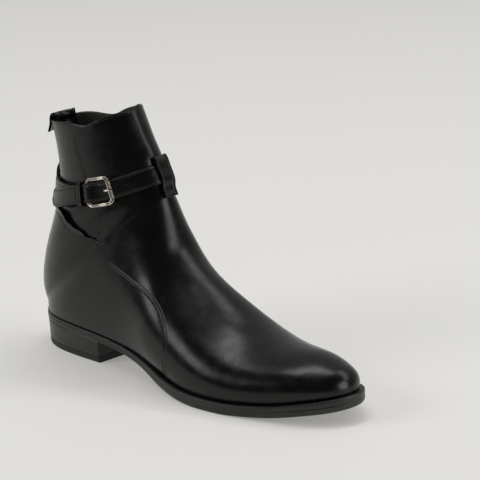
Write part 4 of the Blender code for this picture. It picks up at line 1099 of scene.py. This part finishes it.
def strip(line, girth, width, name, node, sewn):
    """Strip along the middle of the ankle, with stitches beside its edges over a share of its length."""
    at = np.linspace(0, 1, len(line))

    def place(s, across, rise):
        run, clear = spline(at, column(line, 0), s), spline(at, column(line, 1), s)
        side = np.stack([0 * s, across + 0 * s, 0 * s], -1)
        return last(run, girth) + outward(run, girth) * (clear + rise)[..., None] + side
    bm, i, j, k = block(90, 10)
    settle(bm, place(i / 90, width * (j / 10 - 0.5), LOOP_LEATHER * k))
    mark(bm, "edge", np.minimum(j, 10 - j) / 10 * width)
    soften(bm, 0.4, long_edges(j, k, 10) + [(i == a) & (k == 1) for a in (0, 90)])
    piece(bm, name, strip_calf, "black_calf", node)
    bm = bmesh.new()
    for edge in (-1, 1):
        s = np.linspace(sewn[0], sewn[1], 200)
        across = edge * (width / 2 - 1.6)
        line_at = place(s, across, LOOP_LEATHER + 0 * s)
        sew(bm, line_at, line_at - place(s, across, 0 * s), 2.1, 1.4, 0.5, 0.05)
    piece(bm, name + "_stitches", black_thread, "black_calf")


strip(FRONT_LOOP, 0.512, 12.5, "loop_front", "front_loop", (0.03, 0.95))
strip(BACK_LOOP, 0.0, 12.0, "loop_back", "back_loop", (0.05, 0.95))

# Pull loop
# Doubled strip folded over the back of the collar, sewn down inside, its outer end free.
PULL_SPAN = 0.072
PULL_INSIDE = [405, 411, 417]
PULL_OUTSIDE = [(2.0, 0.4), (5.5, 1.1), (9.0, 2.0)]
TOP_BACK = TOP_EDGE[0][1]
bm, i, j, k = block(60, 16)
inside, reach_far = 1.4 + 1.5 + 2.5 * CLEAR, CLEAR + 0.9 - 1.5
rows = []
for thick in (0.0, LOOP_LEATHER):
    for c in np.linspace(-1, 1, 17):
        girth = -c * PULL_SPAN % 1.0
        n = outward(TOP_BACK, girth)
        flat = np.array([n[0], n[1], 0]) / math.hypot(n[0], n[1])
        path = [lifted(r, girth, np.array(-inside - thick)) for r in (*PULL_INSIDE, TOP_BACK - 1)]
        crown = last(TOP_BACK, girth)
        reach_in, reach_out = inside + thick, reach_far + thick
        middle, radius = (reach_out - reach_in) / 2, (reach_out + reach_in) / 2
        for a in np.radians([165, 130, 95, 60, 25]):
            rise = np.array([0, 0, 2.4 + (radius + 0.4) * math.sin(a)])
            path.append(crown + flat * (middle + radius * math.cos(a)) + rise)
        for drop, flare in PULL_OUTSIDE:
            path.append(crown + flat * (reach_out + flare) - np.array([0, 0, drop]))
        path = np.stack(path)
        arc = np.r_[0, np.cumsum(np.linalg.norm(np.diff(path, axis=0), axis=1))]
        rows.append(np.stack([spline(arc, path[:, a], np.linspace(0, arc[-1], 61)) for a in range(3)], -1))
rows = np.array(rows).reshape(2, 17, 61, 3)
settle(bm, rows[k, j, i])
mark(bm, "edge", np.minimum(j, 16 - j) / 16 * 24.0)
soften(bm, 0.4, long_edges(j, k, 16) + [(i == a) & (k == b) for a in (0, 60) for b in (0, 1)])
piece(bm, "pull_tab", strip_calf, "black_calf", "pull_loop")
sewing = bmesh.new()
for c in (1, 15):
    line = rows[1, c, 20:58]
    sew(sewing, line, line - rows[0, c, 20:58], 2.1, 1.4, 0.5, 0.05)
piece(sewing, "pull_stitches", black_thread, "black_calf")
